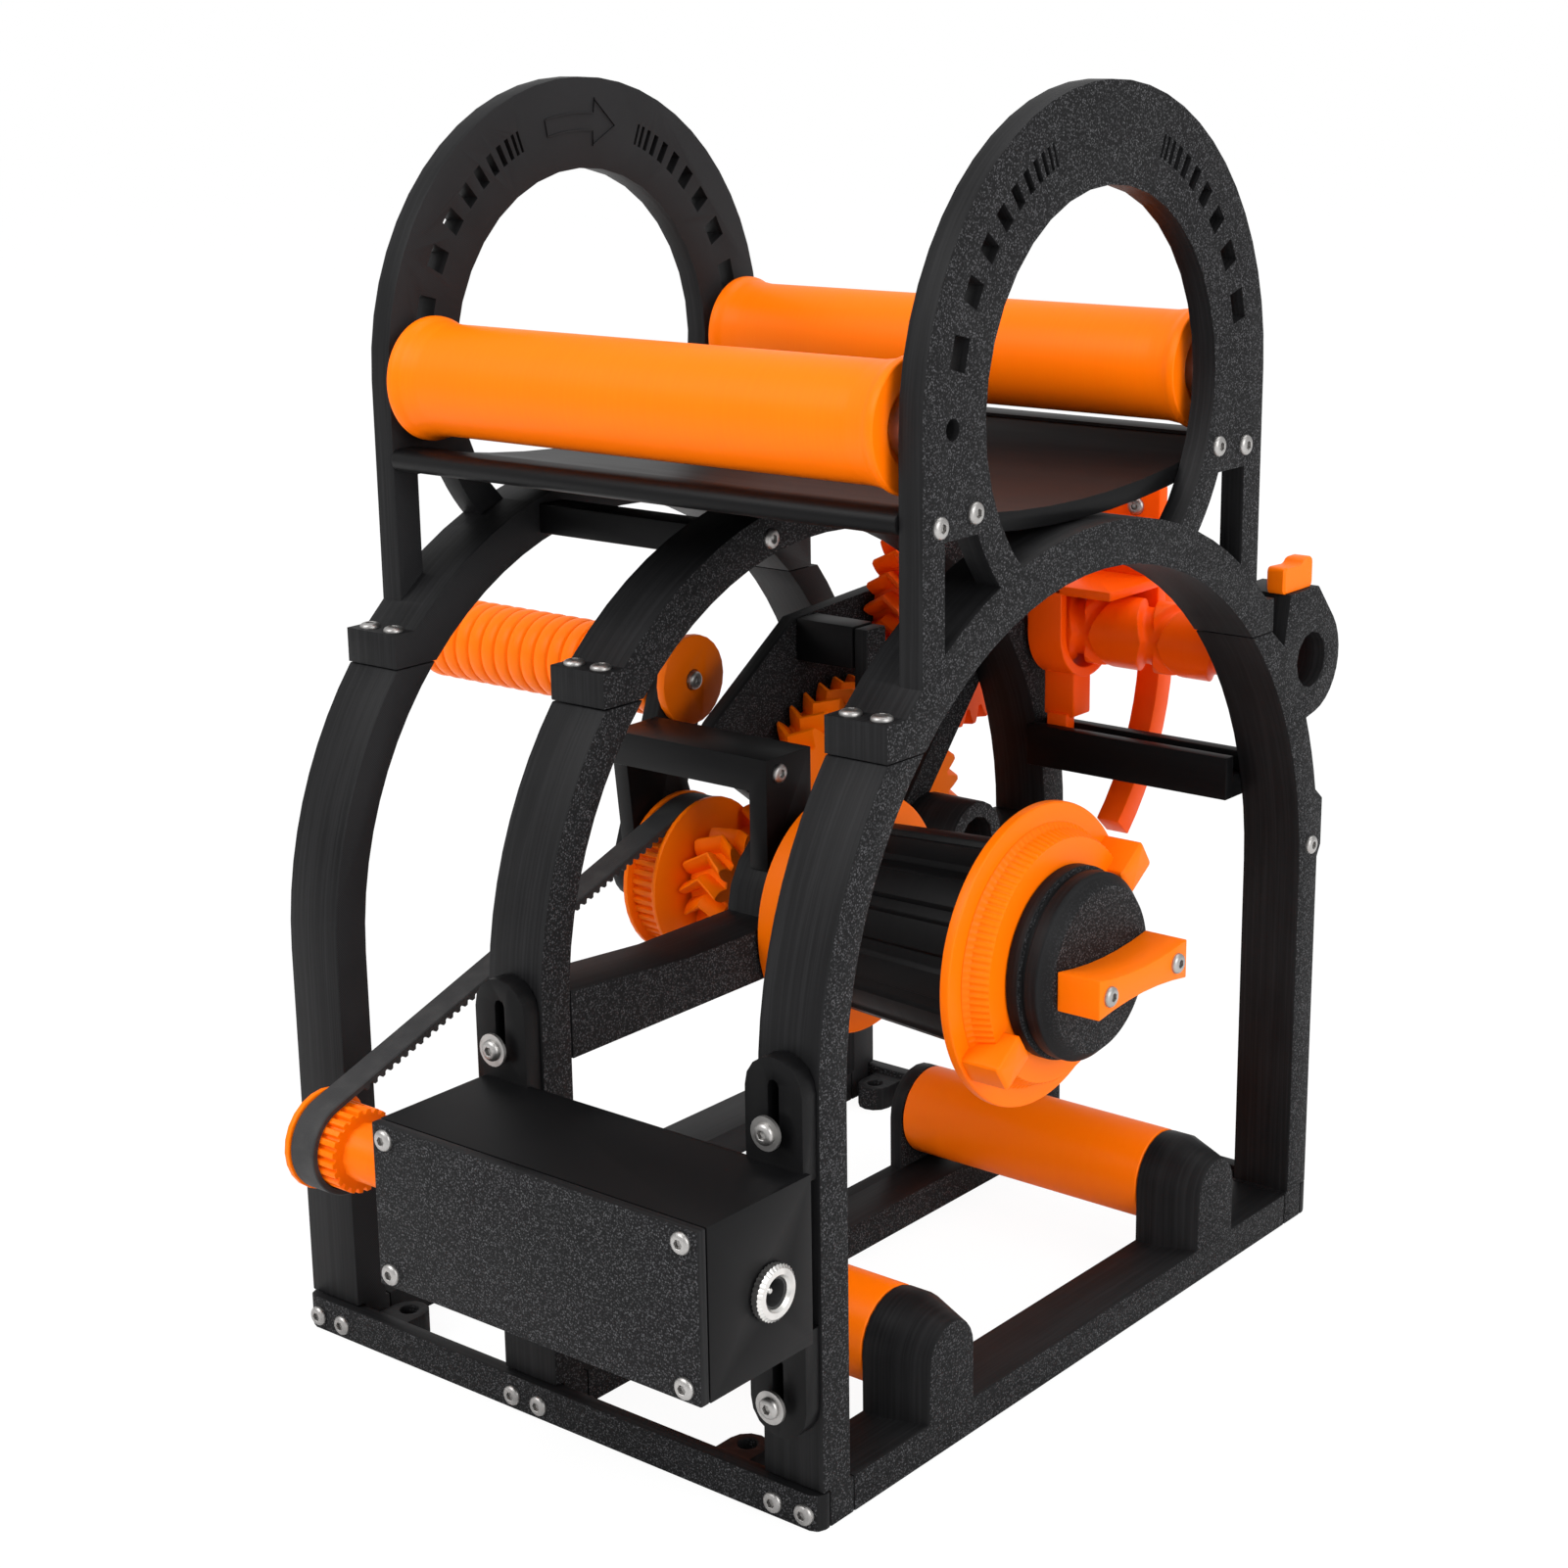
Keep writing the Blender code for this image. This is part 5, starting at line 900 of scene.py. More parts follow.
@dataclass
class GearTrain:
    """Hub pinion, idler and drum gear with V-shaped involute teeth."""

    left: float = -0.0355
    width: float = 0.014
    module: float = 0.00225
    pressure: float = math.radians(25.0)
    helix: float = math.radians(30.0)
    thinning: float = 0.0002
    pinion: int = 12
    idler: int = 40
    wheel: int = 32
    root_modules: float = 1.25
    web_modules: float = 2.2
    fillet: float = 0.15
    flank_steps: int = 6
    soft: float = 0.0003
    ring_places: tuple[float, ...] = (0.0, 0.0, 0.0, 0.03, 0.5, 0.97, 1.0, 1.0, 1.0)
    sharp_deg: float = 24.0

    def idler_centre(self) -> Pair:
        """Where the circles of the two centre distances cross, on the lower side."""
        first = self.module * (self.pinion + self.idler) / 2
        second = self.module * (self.idler + self.wheel) / 2
        gap = np.subtract(DRUM_AXIS, HUB_AXIS)
        distance = float(np.hypot(*gap))
        along = (first**2 - second**2 + distance**2) / (2 * distance)
        aside = math.sqrt(first**2 - along**2)
        unit = gap / distance
        point = np.add(HUB_AXIS, along * unit + aside * np.array([unit[1], -unit[0]]))
        return float(point[0]), float(point[1])

    def tooth(self, teeth: int) -> tuple[np.ndarray, np.ndarray]:
        """Radii and angles across one tooth, from root to root, with involute flanks.

        Args:
            teeth: how many teeth the gear has.

        Returns:
            Radii and angles, counted from the tooth's middle.
        """
        pitch = self.module * teeth / 2
        base = pitch * math.cos(self.pressure)
        root = pitch - self.root_modules * self.module
        tip = pitch + self.module
        half = math.pi / 2 / teeth - self.thinning / 2 / pitch + math.tan(self.pressure) - self.pressure
        radius = np.linspace(max(base, root), tip, self.flank_steps)
        roll = np.arccos(np.clip(base / radius, 0, 1))
        flank = half - (np.tan(roll) - roll)
        gap = math.pi / teeth
        fillet = min(flank[0] + self.fillet * (gap - flank[0]), gap)
        radius = np.concatenate([[root], radius])
        flank = np.concatenate([[fillet], flank])
        return np.concatenate([radius, radius[::-1]]), np.concatenate([-flank, flank[::-1]])

    def phase(self, first: Pair, n: int, turn: float, second: Pair, m: int) -> float:
        """The second gear's angle at which its gap meets the first gear's tooth."""
        line = math.atan2(second[1] - first[1], second[0] - first[0])
        return line + math.pi + ((line - turn) * n / TURN - 0.5) * TURN / m

    def gear(self, centre: Pair, teeth: int, turn: float, hand: float) -> Shell:
        """One gear: tooth outlines along X, turned by a V-shaped law, with a web and a bore at both ends.

        Args:
            centre: the gear's (y, z).
            teeth: how many teeth it has.
            turn: the angle of its first tooth.
            hand: 1 or -1, the way its teeth lean.

        Returns:
            The surface.
        """
        radius, offset = self.tooth(teeth)
        angle = (turn + around(teeth)[:, None] + offset).reshape(-1)
        share = np.array(self.ring_places)
        x = self.left + self.width * share
        pitch = self.module * teeth / 2
        lean = math.tan(self.helix) * self.width / 2 / pitch
        twist = hand * lean * (1 - np.abs(2 * share - 1))
        rings = np.repeat(np.tile(radius, teeth)[None], len(x), axis=0)
        rings[[2, -3]] -= self.soft
        rings[[1, -2]] = pitch - self.web_modules * self.module
        rings[[0, -1]] = SHAFT_BORE
        return lattice(polar(x[:, None], rings, angle[None] + twist[:, None], centre), looped=True)

    def build(self, finish: Finishes) -> None:
        """Builds the three gears in mesh and the bracket beside them."""
        middle = self.idler_centre()
        idler_turn = self.phase(HUB_AXIS, self.pinion, 0.0, middle, self.idler)
        wheel_turn = self.phase(middle, self.idler, idler_turn, DRUM_AXIS, self.wheel)
        rows = (
            ("hub_pinion", HUB_AXIS, self.pinion, 0.0, -1, "hub", finish.orange),
            ("idler_gear", middle, self.idler, idler_turn, 1, "idler", finish.orange),
            # The drum gear takes the orange with painted shade.
            ("drum_gear", DRUM_AXIS, self.wheel, wheel_turn, -1, "drum", finish.orange_painted_shade),
        )
        for name, centre, teeth, turn, hand, body, paint in rows:
            shells = [self.gear(centre, teeth, turn, hand)]
            stand_in(name, "toothed", shells, paint, body, Slot.ORANGE, self.sharp_deg)
        GearBracket(middle).build(finish)


@dataclass
class GearBracket:
    """The open bracket right of the gears: a boss on two axes, a tie bar's seat, and bars between them."""

    idler: Pair
    seat: Pair = (0.0472, 0.1715)
    seat_half: Pair = (0.0047, 0.0130)
    low: float = -0.0147
    high: float = -0.0099
    bore: float = 0.0046
    idler_r: float = 0.0090
    drum_r: float = 0.0120
    bar_half: float = 0.0045
    soft: float = 0.0005
    points: int = 64

    def boss(self, centre: Pair, radius: float) -> Shell:
        """A soft-edged ring on an axis."""
        profile = softened(tube(self.low, self.high, self.bore, radius), self.soft)
        return revolve(profile, centre, self.points)

    def bar(self, start: Pair, end: Pair, clear: Pair) -> Shell:
        """A straight bar between two points.

        Args:
            start: the first point's (y, z).
            end: the second point's (y, z).
            clear: how far the bar stays away from either point.

        Returns:
            The surface.
        """
        first, last = np.array(start), np.array(end)
        along = direction(last - first)
        aside = np.array([-along[1], along[0]]) * self.bar_half
        first, last = first + along * clear[0], last - along * clear[1]
        outline = softened([first - aside, last - aside, last + aside, first + aside], self.soft)
        away = direction(outline - (first + last) / 2)
        x, inset = eased(self.low, self.high, self.soft)
        return carried(x[:, None], outline[None] - away[None] * inset[:, None, None])

    def build(self, finish: Finishes) -> None:
        """Builds the bracket."""
        near = self.bore + self.soft
        y, z = self.seat
        half_y, half_z = self.seat_half
        shells = [
            self.boss(self.idler, self.idler_r),
            self.boss(DRUM_AXIS, self.drum_r),
            self.bar(self.idler, DRUM_AXIS, (near, near)),
            self.bar(self.idler, (y, z - 2 * self.bar_half), (near, 0.0)),
            self.bar(self.seat, DRUM_AXIS, (0.0, near)),
            block((self.low, y - half_y, z - half_z), (self.high, y + half_y, z + half_z), self.soft),
        ]
        stand_in("gear_plate_right", "open", shells, finish.plate_right, "frame", Slot.BLACK)


@dataclass
class CrankHandle:
    """The ribbed grip."""

    axis: Pair = (0.0181807, 0.1675228)
    start: float = -0.067
    length: float = 0.098
    ribs: int = 17
    rib_points: int = 12
    rib_power: float = 0.4
    radius: float = 0.013
    valley: float = 0.0119
    bore: float = 0.0033
    soft: float = 0.0006
    sharp_deg: float = 50.0

    def build(self, finish: Finishes) -> None:
        """The grip's radius rises from each valley as a power of a half sine."""
        place = np.linspace(0.0, 1.0, self.ribs * self.rib_points + 1)
        wave = np.abs(np.sin(math.pi * self.ribs * place)) ** self.rib_power
        radius = self.valley + (self.radius - self.valley) * wave
        radius[[0, -1]] -= self.soft
        x = self.start - self.length * np.concatenate([[0.0], place, [1.0]])
        radius = np.concatenate([[self.bore], radius, [self.bore]])
        shell = revolve(np.stack([x, radius], axis=-1), self.axis)
        stand_in("crank_grip", "ribbed", [shell], finish.orange, "grip", Slot.ORANGE, self.sharp_deg)


@dataclass
class LevelWind:
    """The drum with its self-reversing groove."""

    start: float = 0.010
    end: float = 0.081
    radius: float = 0.011
    depth: float = 0.0024
    half_width: float = 0.0026
    groove_power: int = 4
    turns: float = 2.5
    margin: float = 0.005
    bore_end: float = 0.0223
    bore_tip: float = 0.0005
    journal: float = 0.0077
    journal_end: float = 0.0875
    head_soft: float = 0.0006
    tail_soft: float = 0.0004
    journal_soft: float = 0.0005
    rings: int = 190
    points: int = 120
    sharp_deg: float = 40.0

    def build(self, finish: Finishes) -> None:
        """The drum's radius falls in a rounded channel about the nearest pass of a to-and-fro helix."""
        x = np.linspace(self.start, self.end, self.rings)[:, None]
        angle = around(self.points)[None]
        lap = np.arange(int(2 * self.turns))[:, None, None]
        phase = (angle / TURN + lap) / (2 * self.turns)
        stroke = self.end - self.start - 2 * self.margin
        there = self.start + self.margin + stroke * (1 - np.abs(2 * phase - 1))
        nearest = np.abs(x[None] - there).min(axis=0)
        share = np.clip(nearest / self.half_width, 0, 1)
        radius = self.radius - self.depth * (1 - share**self.groove_power)
        radius[-1] -= self.tail_soft
        journal = self.journal_end - self.journal_soft
        head = [(self.bore_end, self.bore_tip), (self.bore_end, SHAFT_BORE)]
        head += [(self.start, SHAFT_BORE), (self.start, self.radius - self.head_soft)]
        tail = [(self.end, self.journal), (journal, self.journal)]
        tail += [(self.journal_end, self.journal - self.journal_soft)]
        head_x, head_r = np.array(head).T[..., None]
        tail_x, tail_r = np.array(tail).T[..., None]
        flat = np.ones_like(angle)
        radii = np.concatenate([head_r * flat, radius[1:], tail_r * flat])
        shell = lattice(polar(np.concatenate([head_x, x[1:], tail_x]), radii, angle, DRUM_AXIS))
        # The drum takes the orange with painted shade.
        paint = finish.orange_painted_shade
        stand_in("cam_drum", "grooved", [shell], paint, "drum", Slot.ORANGE, self.sharp_deg)


@dataclass
class Carriage:
    """The fork that rides on the drum, its stem and foot in the rail, and the guide arm's roof and wall."""

    low: float = 0.011
    fork: float = 0.0125
    length: float = 0.030
    inner: float = 0.0125
    thick: float = 0.0032
    top: float = 0.193
    roof: float = 0.0030
    back: float = 0.1275
    wall: float = 0.0045
    wall_top: float = 0.221
    stem: Pair = (0.1040, 0.1135)
    stem_inset: Pair = (0.0012, 0.0004)
    stem_low: float = 0.150
    stem_sink: float = 0.0008
    foot: Pair = (0.1027, 0.1073)
    foot_inset: Pair = (0.0030, 0.0020)
    foot_low: float = 0.142
    foot_sink: float = 0.001
    band_soft: float = 0.0007
    band_points: int = 33

    def band(self) -> Shell:
        """The fork's band: its section goes down the front, round half the drum and up the back."""
        way = rays(np.linspace(math.pi, TURN, self.band_points))
        rise = self.top - self.roof / 2 - DRUM_AXIS[1]
        lift = np.concatenate([[rise], np.zeros(len(way)), [rise]])
        way = np.concatenate([way[:1], way, way[-1:]])
        low, high = self.low, self.low + self.fork
        near, far = self.inner, self.inner + self.thick
        section = softened([(low, near), (high, near), (high, far), (low, far)], self.band_soft)
        plane = np.array(DRUM_AXIS) + way[:, None] * section[None, :, 1:]
        plane[..., 1] += lift[:, None]
        return carried(section[None, :, 0], plane)

    def build(self, finish: Finishes) -> None:
        """Builds the carriage from its fork and four blocks."""
        y, z = DRUM_AXIS
        front = y - self.inner - self.thick
        low, end, fork_end = self.low, self.low + self.length, self.low + self.fork
        under = z - self.inner - self.stem_sink
        stem_low = (low + self.stem_inset[0], self.stem[0], self.stem_low)
        foot_low = (low + self.foot_inset[0], self.foot[0], self.foot_low)
        foot_high = (fork_end - self.foot_inset[1], self.foot[1], self.stem_low + self.foot_sink)
        shells = [
            self.band(),
            block((low, front, self.top - self.roof), (end, self.back, self.top)),
            block((low, self.back - self.wall, z), (end, self.back, self.wall_top)),
            block(stem_low, (fork_end - self.stem_inset[1], self.stem[1], under)),
            block(foot_low, foot_high),
        ]
        # The carriage takes the orange with painted shade.
        stand_in("carriage", "forked", shells, finish.orange_painted_shade, "guide", Slot.ORANGE)


@dataclass
class FilamentClip:
    """The clip on the boss's lug: a short upright plate whose top edge dips before a raised horn."""

    left: float = 0.0930
    right: float = 0.0990
    edge: float = 0.0006
    end_scale: float = 0.93
    radius: float = 0.0018
    corner_points: int = 6
    outline: tuple[Pair, ...] = (
        (0.0970, 0.1988),
        (0.1135, 0.1988),
        (0.1135, 0.2080),
        (0.1082, 0.2080),
        (0.1064, 0.2062),
        (0.0970, 0.2067),
    )

    def build(self, finish: Finishes) -> None:
        """Carries the rounded outline across, a little smaller at both ends."""
        ring = softened(self.outline, self.radius, self.corner_points)
        middle = ring.mean(axis=0)
        small = middle + (ring - middle) * self.end_scale
        x = np.array([self.left, self.left + self.edge, self.right - self.edge, self.right])
        shell = carried(x[:, None], np.stack([small, ring, ring, small]))
        stand_in("filament_clip", "horned", [shell], finish.orange, "frame", Slot.ORANGE)


@dataclass
class BeltDrive:
    """The toothed belt, as a band carried along its loop."""

    motor: Pair = (-0.144, 0.075)
    pitch: float = 0.003
    hub_teeth: int = 46
    motor_teeth: int = 24
    low: float = -0.04765
    width: float = 0.0088
    gap: float = 0.0003
    thick: float = 0.0016
    tooth: float = 0.0011
    tooth_points: int = 12
    tooth_swing: float = 1.1
    bare: int = 3
    hub_points: int = 90
    motor_points: int = 60
    soft: float = 0.0003
    shoulder: float = 0.8
    sharp_deg: float = 40.0

    def run(self, start: np.ndarray, end: np.ndarray) -> tuple[np.ndarray, np.ndarray, np.ndarray]:
        """Points, outward directions and inner heights along a free run, with round-topped teeth.

        Args:
            start: the run's first point, (y, z).
            end: its last point.

        Returns:
            The points, the outward unit vectors, and how far the teeth stand inwards at each point.
        """
        along = end - start
        length = float(np.hypot(*along))
        unit = along / length
        count = int(length / self.pitch)
        margin = (length - count * self.pitch) / 2
        place = np.linspace(0, length, count * self.tooth_points + 1)[1:-1]
        teeth = (place - margin) / self.pitch
        wave = np.clip(0.5 - self.tooth_swing * np.cos(TURN * (teeth % 1)), 0, 1)
        wave *= (teeth > self.bare) & (teeth < count - self.bare)
        out = np.array([unit[1], -unit[0]])
        return start + place[:, None] * unit, np.repeat(out[None], len(place), axis=0), wave * self.tooth

    def build(self, finish: Finishes) -> None:
        """Carries the band's cross-section along two wraps and two runs."""
        hub, motor = np.array(HUB_AXIS), np.array(self.motor)
        big = self.hub_teeth * self.pitch / TURN + self.gap
        small = self.motor_teeth * self.pitch / TURN + self.gap
        gap = motor - hub
        line = math.atan2(gap[1], gap[0])
        lean = math.acos((big - small) / float(np.hypot(*gap)))
        first = rays(np.linspace(line + lean, line + TURN - lean, self.hub_points))
        second = rays(np.linspace(line - lean, line + lean, self.motor_points))
        wrap_hub = hub + big * first
        wrap_motor = motor + small * second
        there = self.run(wrap_hub[-1], wrap_motor[0])
        back = self.run(wrap_motor[-1], wrap_hub[0])
        points = np.concatenate([wrap_hub, there[0], wrap_motor, back[0]])
        outward = np.concatenate([first, there[1], second, back[1]])
        inner = np.concatenate([np.zeros(len(first)), there[2], np.zeros(len(second)), back[2]])
        soft, wide, edge = self.soft, self.width, self.shoulder
        across = np.array([soft, wide - soft, wide, wide, wide - soft, soft, 0.0, 0.0])
        top = np.array([1.0, 1.0, edge, 0.0, 0.0, 0.0, 0.0, edge])
        deep = np.array([0.0, 0.0, 0.0, 1.0, 1.0, 1.0, 1.0, 0.0])
        rise = top[None] * self.thick - deep[None] * inner[:, None]
        plane = points[:, None] + outward[:, None] * rise[..., None]
        shell = carried((self.low + across)[None], plane, looped=True)
        paint = finish.rubber
        stand_in("drive_belt", "toothed", [shell], paint, "frame", Slot.RUBBER, self.sharp_deg)


@dataclass
class Bearings:
    """The ball bearing at the yoke, two races with a sunk shield between them."""

    low: float = -0.0565
    high: float = -0.051
    inner: float = 0.0062
    outer: float = 0.0095
    rim: float = 0.011
    sunk: float = 0.0005
    soft: float = 0.0002
    points: int = 64

    def build(self, finish: Finishes) -> None:
        """Builds the bearing from half of its profile and the mirror image of it."""
        low, sunk = self.low, self.low + self.sunk
        half = [(low, SHAFT_BORE), (low, self.inner), (sunk, self.inner), (sunk, self.outer)]
        half += [(low, self.outer), (low, self.rim)]
        mirrored = [(self.low + self.high - x, radius) for x, radius in half[::-1]]
        shell = revolve(softened(half + mirrored, self.soft), HUB_AXIS, self.points)
        stand_in("yoke_bearing", "raced", [shell], finish.steel, "frame", Slot.STEEL)


@dataclass
class Inlet:
    """The power inlet on the box: a knurled ring nut, a socket and its pin."""

    centre: Pair = (-0.1399, 0.073)
    face: float = 0.1014
    thick: float = 0.0025
    depth: float = 0.010
    ring: float = 0.0072
    ring_inner: float = 0.0049
    ring_steps: tuple[float, ...] = (0.0062, 0.0047, 0.0040, 0.0034)
    ring_soft: float = 0.0008
    knurls: int = 36
    knurl_depth: float = 0.0003
    socket: float = 0.0034
    socket_outer: float = 0.0045
    socket_back: float = 0.001
    socket_sunk: float = 0.0012
    socket_soft: float = 0.0001
    socket_points: int = 48
    pin: float = 0.001
    pin_tip: float = 0.0006
    pin_back: float = 0.0005
    pin_sunk: Pair = (0.003, 0.0025)
    pin_points: int = 24

    def build(self, finish: Finishes) -> None:
        """Builds the ring nut, the socket and the pin."""
        front = self.face + self.thick
        floor = front - self.depth
        soft_x = front - self.ring_soft
        lip, throat, mouth, inside = self.ring_steps
        rows = [(floor, self.ring_inner, 0.0), (self.face, self.ring_inner, 0.0)]
        rows += [(self.face, self.ring, 1.0), (soft_x, self.ring, 1.0), (front, lip, 0.0)]
        rows += [(front, throat, 0.0), (soft_x, mouth, 0.0), (floor, inside, 0.0)]
        ring = ribbed(rows, self.knurls, self.knurl_depth, self.centre)
        back, sunk = floor - self.socket_back, front - self.socket_sunk
        corners = [(back, 0.0), (back, self.socket_outer), (sunk, self.socket_outer), (sunk, self.socket)]
        corners += [(floor, self.socket), (floor, 0.0)]
        socket = softened(corners, self.socket_soft, looped=False)
        start, (side, tip) = floor - self.pin_back, (front - sink for sink in self.pin_sunk)
        pin = np.array([(start, 0.0), (start, self.pin), (side, self.pin), (tip, self.pin_tip), (tip, 0.0)])
        stand_in("dc_jack", "ring", [ring], finish.steel, "frame", Slot.STEEL)
        turned = revolve(socket, self.centre, self.socket_points, looped=False)
        piece("dc_jack_socket", [turned], finish.rubber, "frame", Slot.STEEL)
        turned = revolve(pin, self.centre, self.pin_points, looped=False)
        piece("dc_jack_pin", [turned], finish.steel, "frame", Slot.STEEL)


@dataclass
class Screws:
    """Button-head screws with hexagon sockets, and washers on the motor box's tabs."""

    radius: float = 0.00285
    height: float = 0.0014
    rim: float = 0.0003
    sink: float = 0.0004
    sink_share: float = 0.6
    dome_end: float = 0.86
    dome_bend: float = 0.72
    dome_rings: int = 6
    socket: float = 0.00125
    socket_depth: float = 0.0011
    socket_edge: float = 0.0001
    socket_tip: float = 0.0003
    socket_shares: tuple[float, ...] = (1.1, 1.0, 0.98, 0.2)
    washer: float = 0.0044
    washer_hole: float = 0.0016
    washer_thick: float = 0.0008
    washer_sink: float = 0.0001
    count: int = 24
    frames_x: Triple = (0.091, 0.0, -0.0775)
    ring_x: float = 0.1005
    ring_y: tuple[float, ...] = (-0.0718, -0.0574, 0.0555, 0.0696)
    ring_z: tuple[float, ...] = (0.2438, 0.2454, 0.2472, 0.2458)
    leg: Triple = (0.1005, 0.1153, 0.1203)
    crown: Triple = (0.0095, -0.0248, 0.2245)
    carrier: Triple = (0.0025, -0.0145, 0.1552)
    block_x: float = 0.0047
    block_y: Pair = (-0.0883, 0.0845)
    block_z: float = 0.1997
    foot_x: float = 0.0049
    foot_y: float = 0.122
    foot_z: float = 0.0042
    panel_x: Pair = (-0.0022, 0.0962)
    panel_y: float = -0.165
    panel_z: Pair = (0.0567, 0.0931)
    tab_y: float = -0.1279
    tab_z: Pair = (0.1063, 0.0345)
    lever_x: float = 0.1151
    lever_y: Pair = (-0.0165, 0.0165)
    grip: Triple = (-0.0571, 0.01818, 0.16752)
    guide: Triple = (0.0325, 0.123, 0.2145)

    def head(self) -> np.ndarray:
        """One head about +Z on the plane z = 0, as rings: wall, dome, rim, hexagon and floor.

        The dome is an elliptic arc. The hexagon's radius is its flat distance over the cosine of the angle
        from the nearest flat's middle.

        Returns:
            Points of shape (rings, points, 3).
        """
        angle = around(self.count)
        rise = np.linspace(0, self.dome_end, self.dome_rings) * math.pi / 2
        dome_r = self.radius * np.cos(rise * self.dome_bend)
        dome_z = self.rim + (self.height - self.rim) * np.sin(rise) / math.sin(rise[-1])
        twelfth = math.pi / 6
        sector = (angle + twelfth) % (2 * twelfth) - twelfth
        flat = self.socket * math.cos(twelfth) / np.cos(sector)
        turned = np.array([self.radius * self.sink_share, self.radius, *dome_r])[:, None]
        hexagon = np.outer(self.socket_shares, flat)
        radius = np.concatenate([np.repeat(turned, self.count, 1), hexagon])
        top, floor = self.height, self.height - self.socket_depth
        z = [-self.sink, -self.sink, *dome_z, top, top - self.socket_edge, floor, floor - self.socket_tip]
        height = np.repeat(np.array(z)[:, None], self.count, 1)
        return np.stack([radius * np.cos(angle), radius * np.sin(angle), height], -1)

    def disc(self) -> np.ndarray:
        """A washer about +Z as four rings that close on themselves."""
        angle = around(self.count)
        r = np.array([self.washer_hole, self.washer, self.washer, self.washer_hole])[:, None]
        z = np.array([-self.washer_sink, -self.washer_sink, self.washer_thick, self.washer_thick])[:, None]
        return np.stack([r * np.cos(angle), r * np.sin(angle), z * np.ones_like(angle)], -1)

    def placed(self, rings: np.ndarray, points: list[Triple], axis: Axis, sign: float,
               lift: float = 0.0) -> np.ndarray:
        """Copies of a ring grid, turned from +Z to the given direction and moved to each point.

        Args:
            rings: the grid of one copy.
            points: the places.
            axis: the axis that the heads face along.
            sign: 1 or -1, the way along it.
            lift: how far off the face they stand.

        Returns:
            Points of shape (copies, rings, points, 3).
        """
        order = {Axis.Z: (0, 1, 2), Axis.X: (2, 0, 1), Axis.Y: (1, 2, 0)}[axis]
        local = rings[..., list(order)].copy()
        local[..., axis.value] = (rings[..., 2] + lift) * sign
        return np.array(points)[:, None, None] + local[None]

    def heads(self, rows: list[tuple[Axis, float, list[Triple]]], lift: float = 0.0) -> list[Shell]:
        """Heads for each row of an axis, a sign and the screws' places."""
        grids = [self.placed(self.head(), places, axis, sign, lift) for axis, sign, places in rows]
        return [lattice(grid) for group in grids for grid in group]

    def build(self, finish: Finishes) -> None:
        """Builds the screws of each body and the washers."""
        sides = (-1, 1)
        faces = [(self.ring_x, y, z) for y, z in zip(self.ring_y, self.ring_z)]
        faces += [self.leg, self.crown, self.carrier]
        blocks = [(x + s * self.block_x, y, self.block_z)
                  for x in self.frames_x for s in sides for y in self.block_y]
        feet = [(x + s * self.foot_x, -self.foot_y, self.foot_z) for x in self.frames_x for s in sides]
        behind = [(x, -y, z) for x, y, z in feet]
        panel = [(x, self.panel_y, z) for x in self.panel_x for z in self.panel_z]
        tabs = [(x, self.tab_y, z) for x in self.frames_x[1::-1] for z in self.tab_z]
        lever = [(self.lever_x, y, HUB_AXIS[1]) for y in self.lever_y]
        rows = [(Axis.X, 1, faces), (Axis.Z, 1, blocks), (Axis.Y, -1, feet + panel), (Axis.Y, 1, behind)]
        washers = [lattice(grid, looped=True) for grid in self.placed(self.disc(), tabs, Axis.Y, -1)]
        box = washers + self.heads([(Axis.Y, -1, tabs)], self.washer_thick)
        pieces = (
            ("frame_screws", "frame", self.heads(rows)),
            ("box_screws", "frame", box),
            ("lever_screws", "cap", self.heads([(Axis.X, 1, lever)])),
            ("grip_screw", "hub", self.heads([(Axis.X, 1, [self.grip])])),
            ("guide_screw", "guide", self.heads([(Axis.Y, -1, [self.guide])])),
        )
        for name, body, shells in pieces:
            piece(name, shells, finish.dark_steel, body, Slot.STEEL)


@dataclass
class ArrowMark:
    """The plain turning arrow at the top of the left ring: a thin raised line round its outline."""

    face_x: float = -0.080
    centre: Pair = (0.0, 0.2665)
    inner: float = 0.0625
    outer: float = 0.0695
    tail: float = math.radians(102.0)
    neck: float = math.radians(85.0)
    tip: float = math.radians(77.0)
    shaft_share: float = 0.7
    wing_share: float = 1.9
    points: int = 24
    line: float = 0.0004
    sink_share: float = 0.25

    def build(self, finish: Finishes) -> None:
        """Carries a small square section round the arrow's outline on the ring's inner face."""
        middle = (self.inner + self.outer) / 2
        half = (self.outer - self.inner) / 2
        sweep = np.linspace(self.tail, self.neck, self.points)
        shaft, wing = half * self.shaft_share, half * self.wing_share
        sides = [np.full(self.points, middle + shaft), np.full(self.points, middle - shaft)]
        radius = np.concatenate([sides[0], [middle + wing, middle, middle - wing], sides[1]])
        angle = np.concatenate([sweep, [self.neck, self.tip, self.neck], sweep[::-1]])
        path = radius[:, None] * rays(angle) + np.array(self.centre)
        ahead = direction(np.roll(path, -1, axis=0) - np.roll(path, 1, axis=0))
        out = np.stack([ahead[:, 1], -ahead[:, 0]], -1)
        across = np.array([-1.0, 1.0, 1.0, -1.0]) * self.line / 2
        rise = np.array([-self.sink_share, -self.sink_share, 1.0, 1.0]) * self.line
        plane = path[:, None] + out[:, None] * across[None, :, None]
        shell = carried((self.face_x + rise)[None], plane, looped=True)
        piece("turning_arrow", [shell], finish.plate_left, "frame", Slot.BLACK)


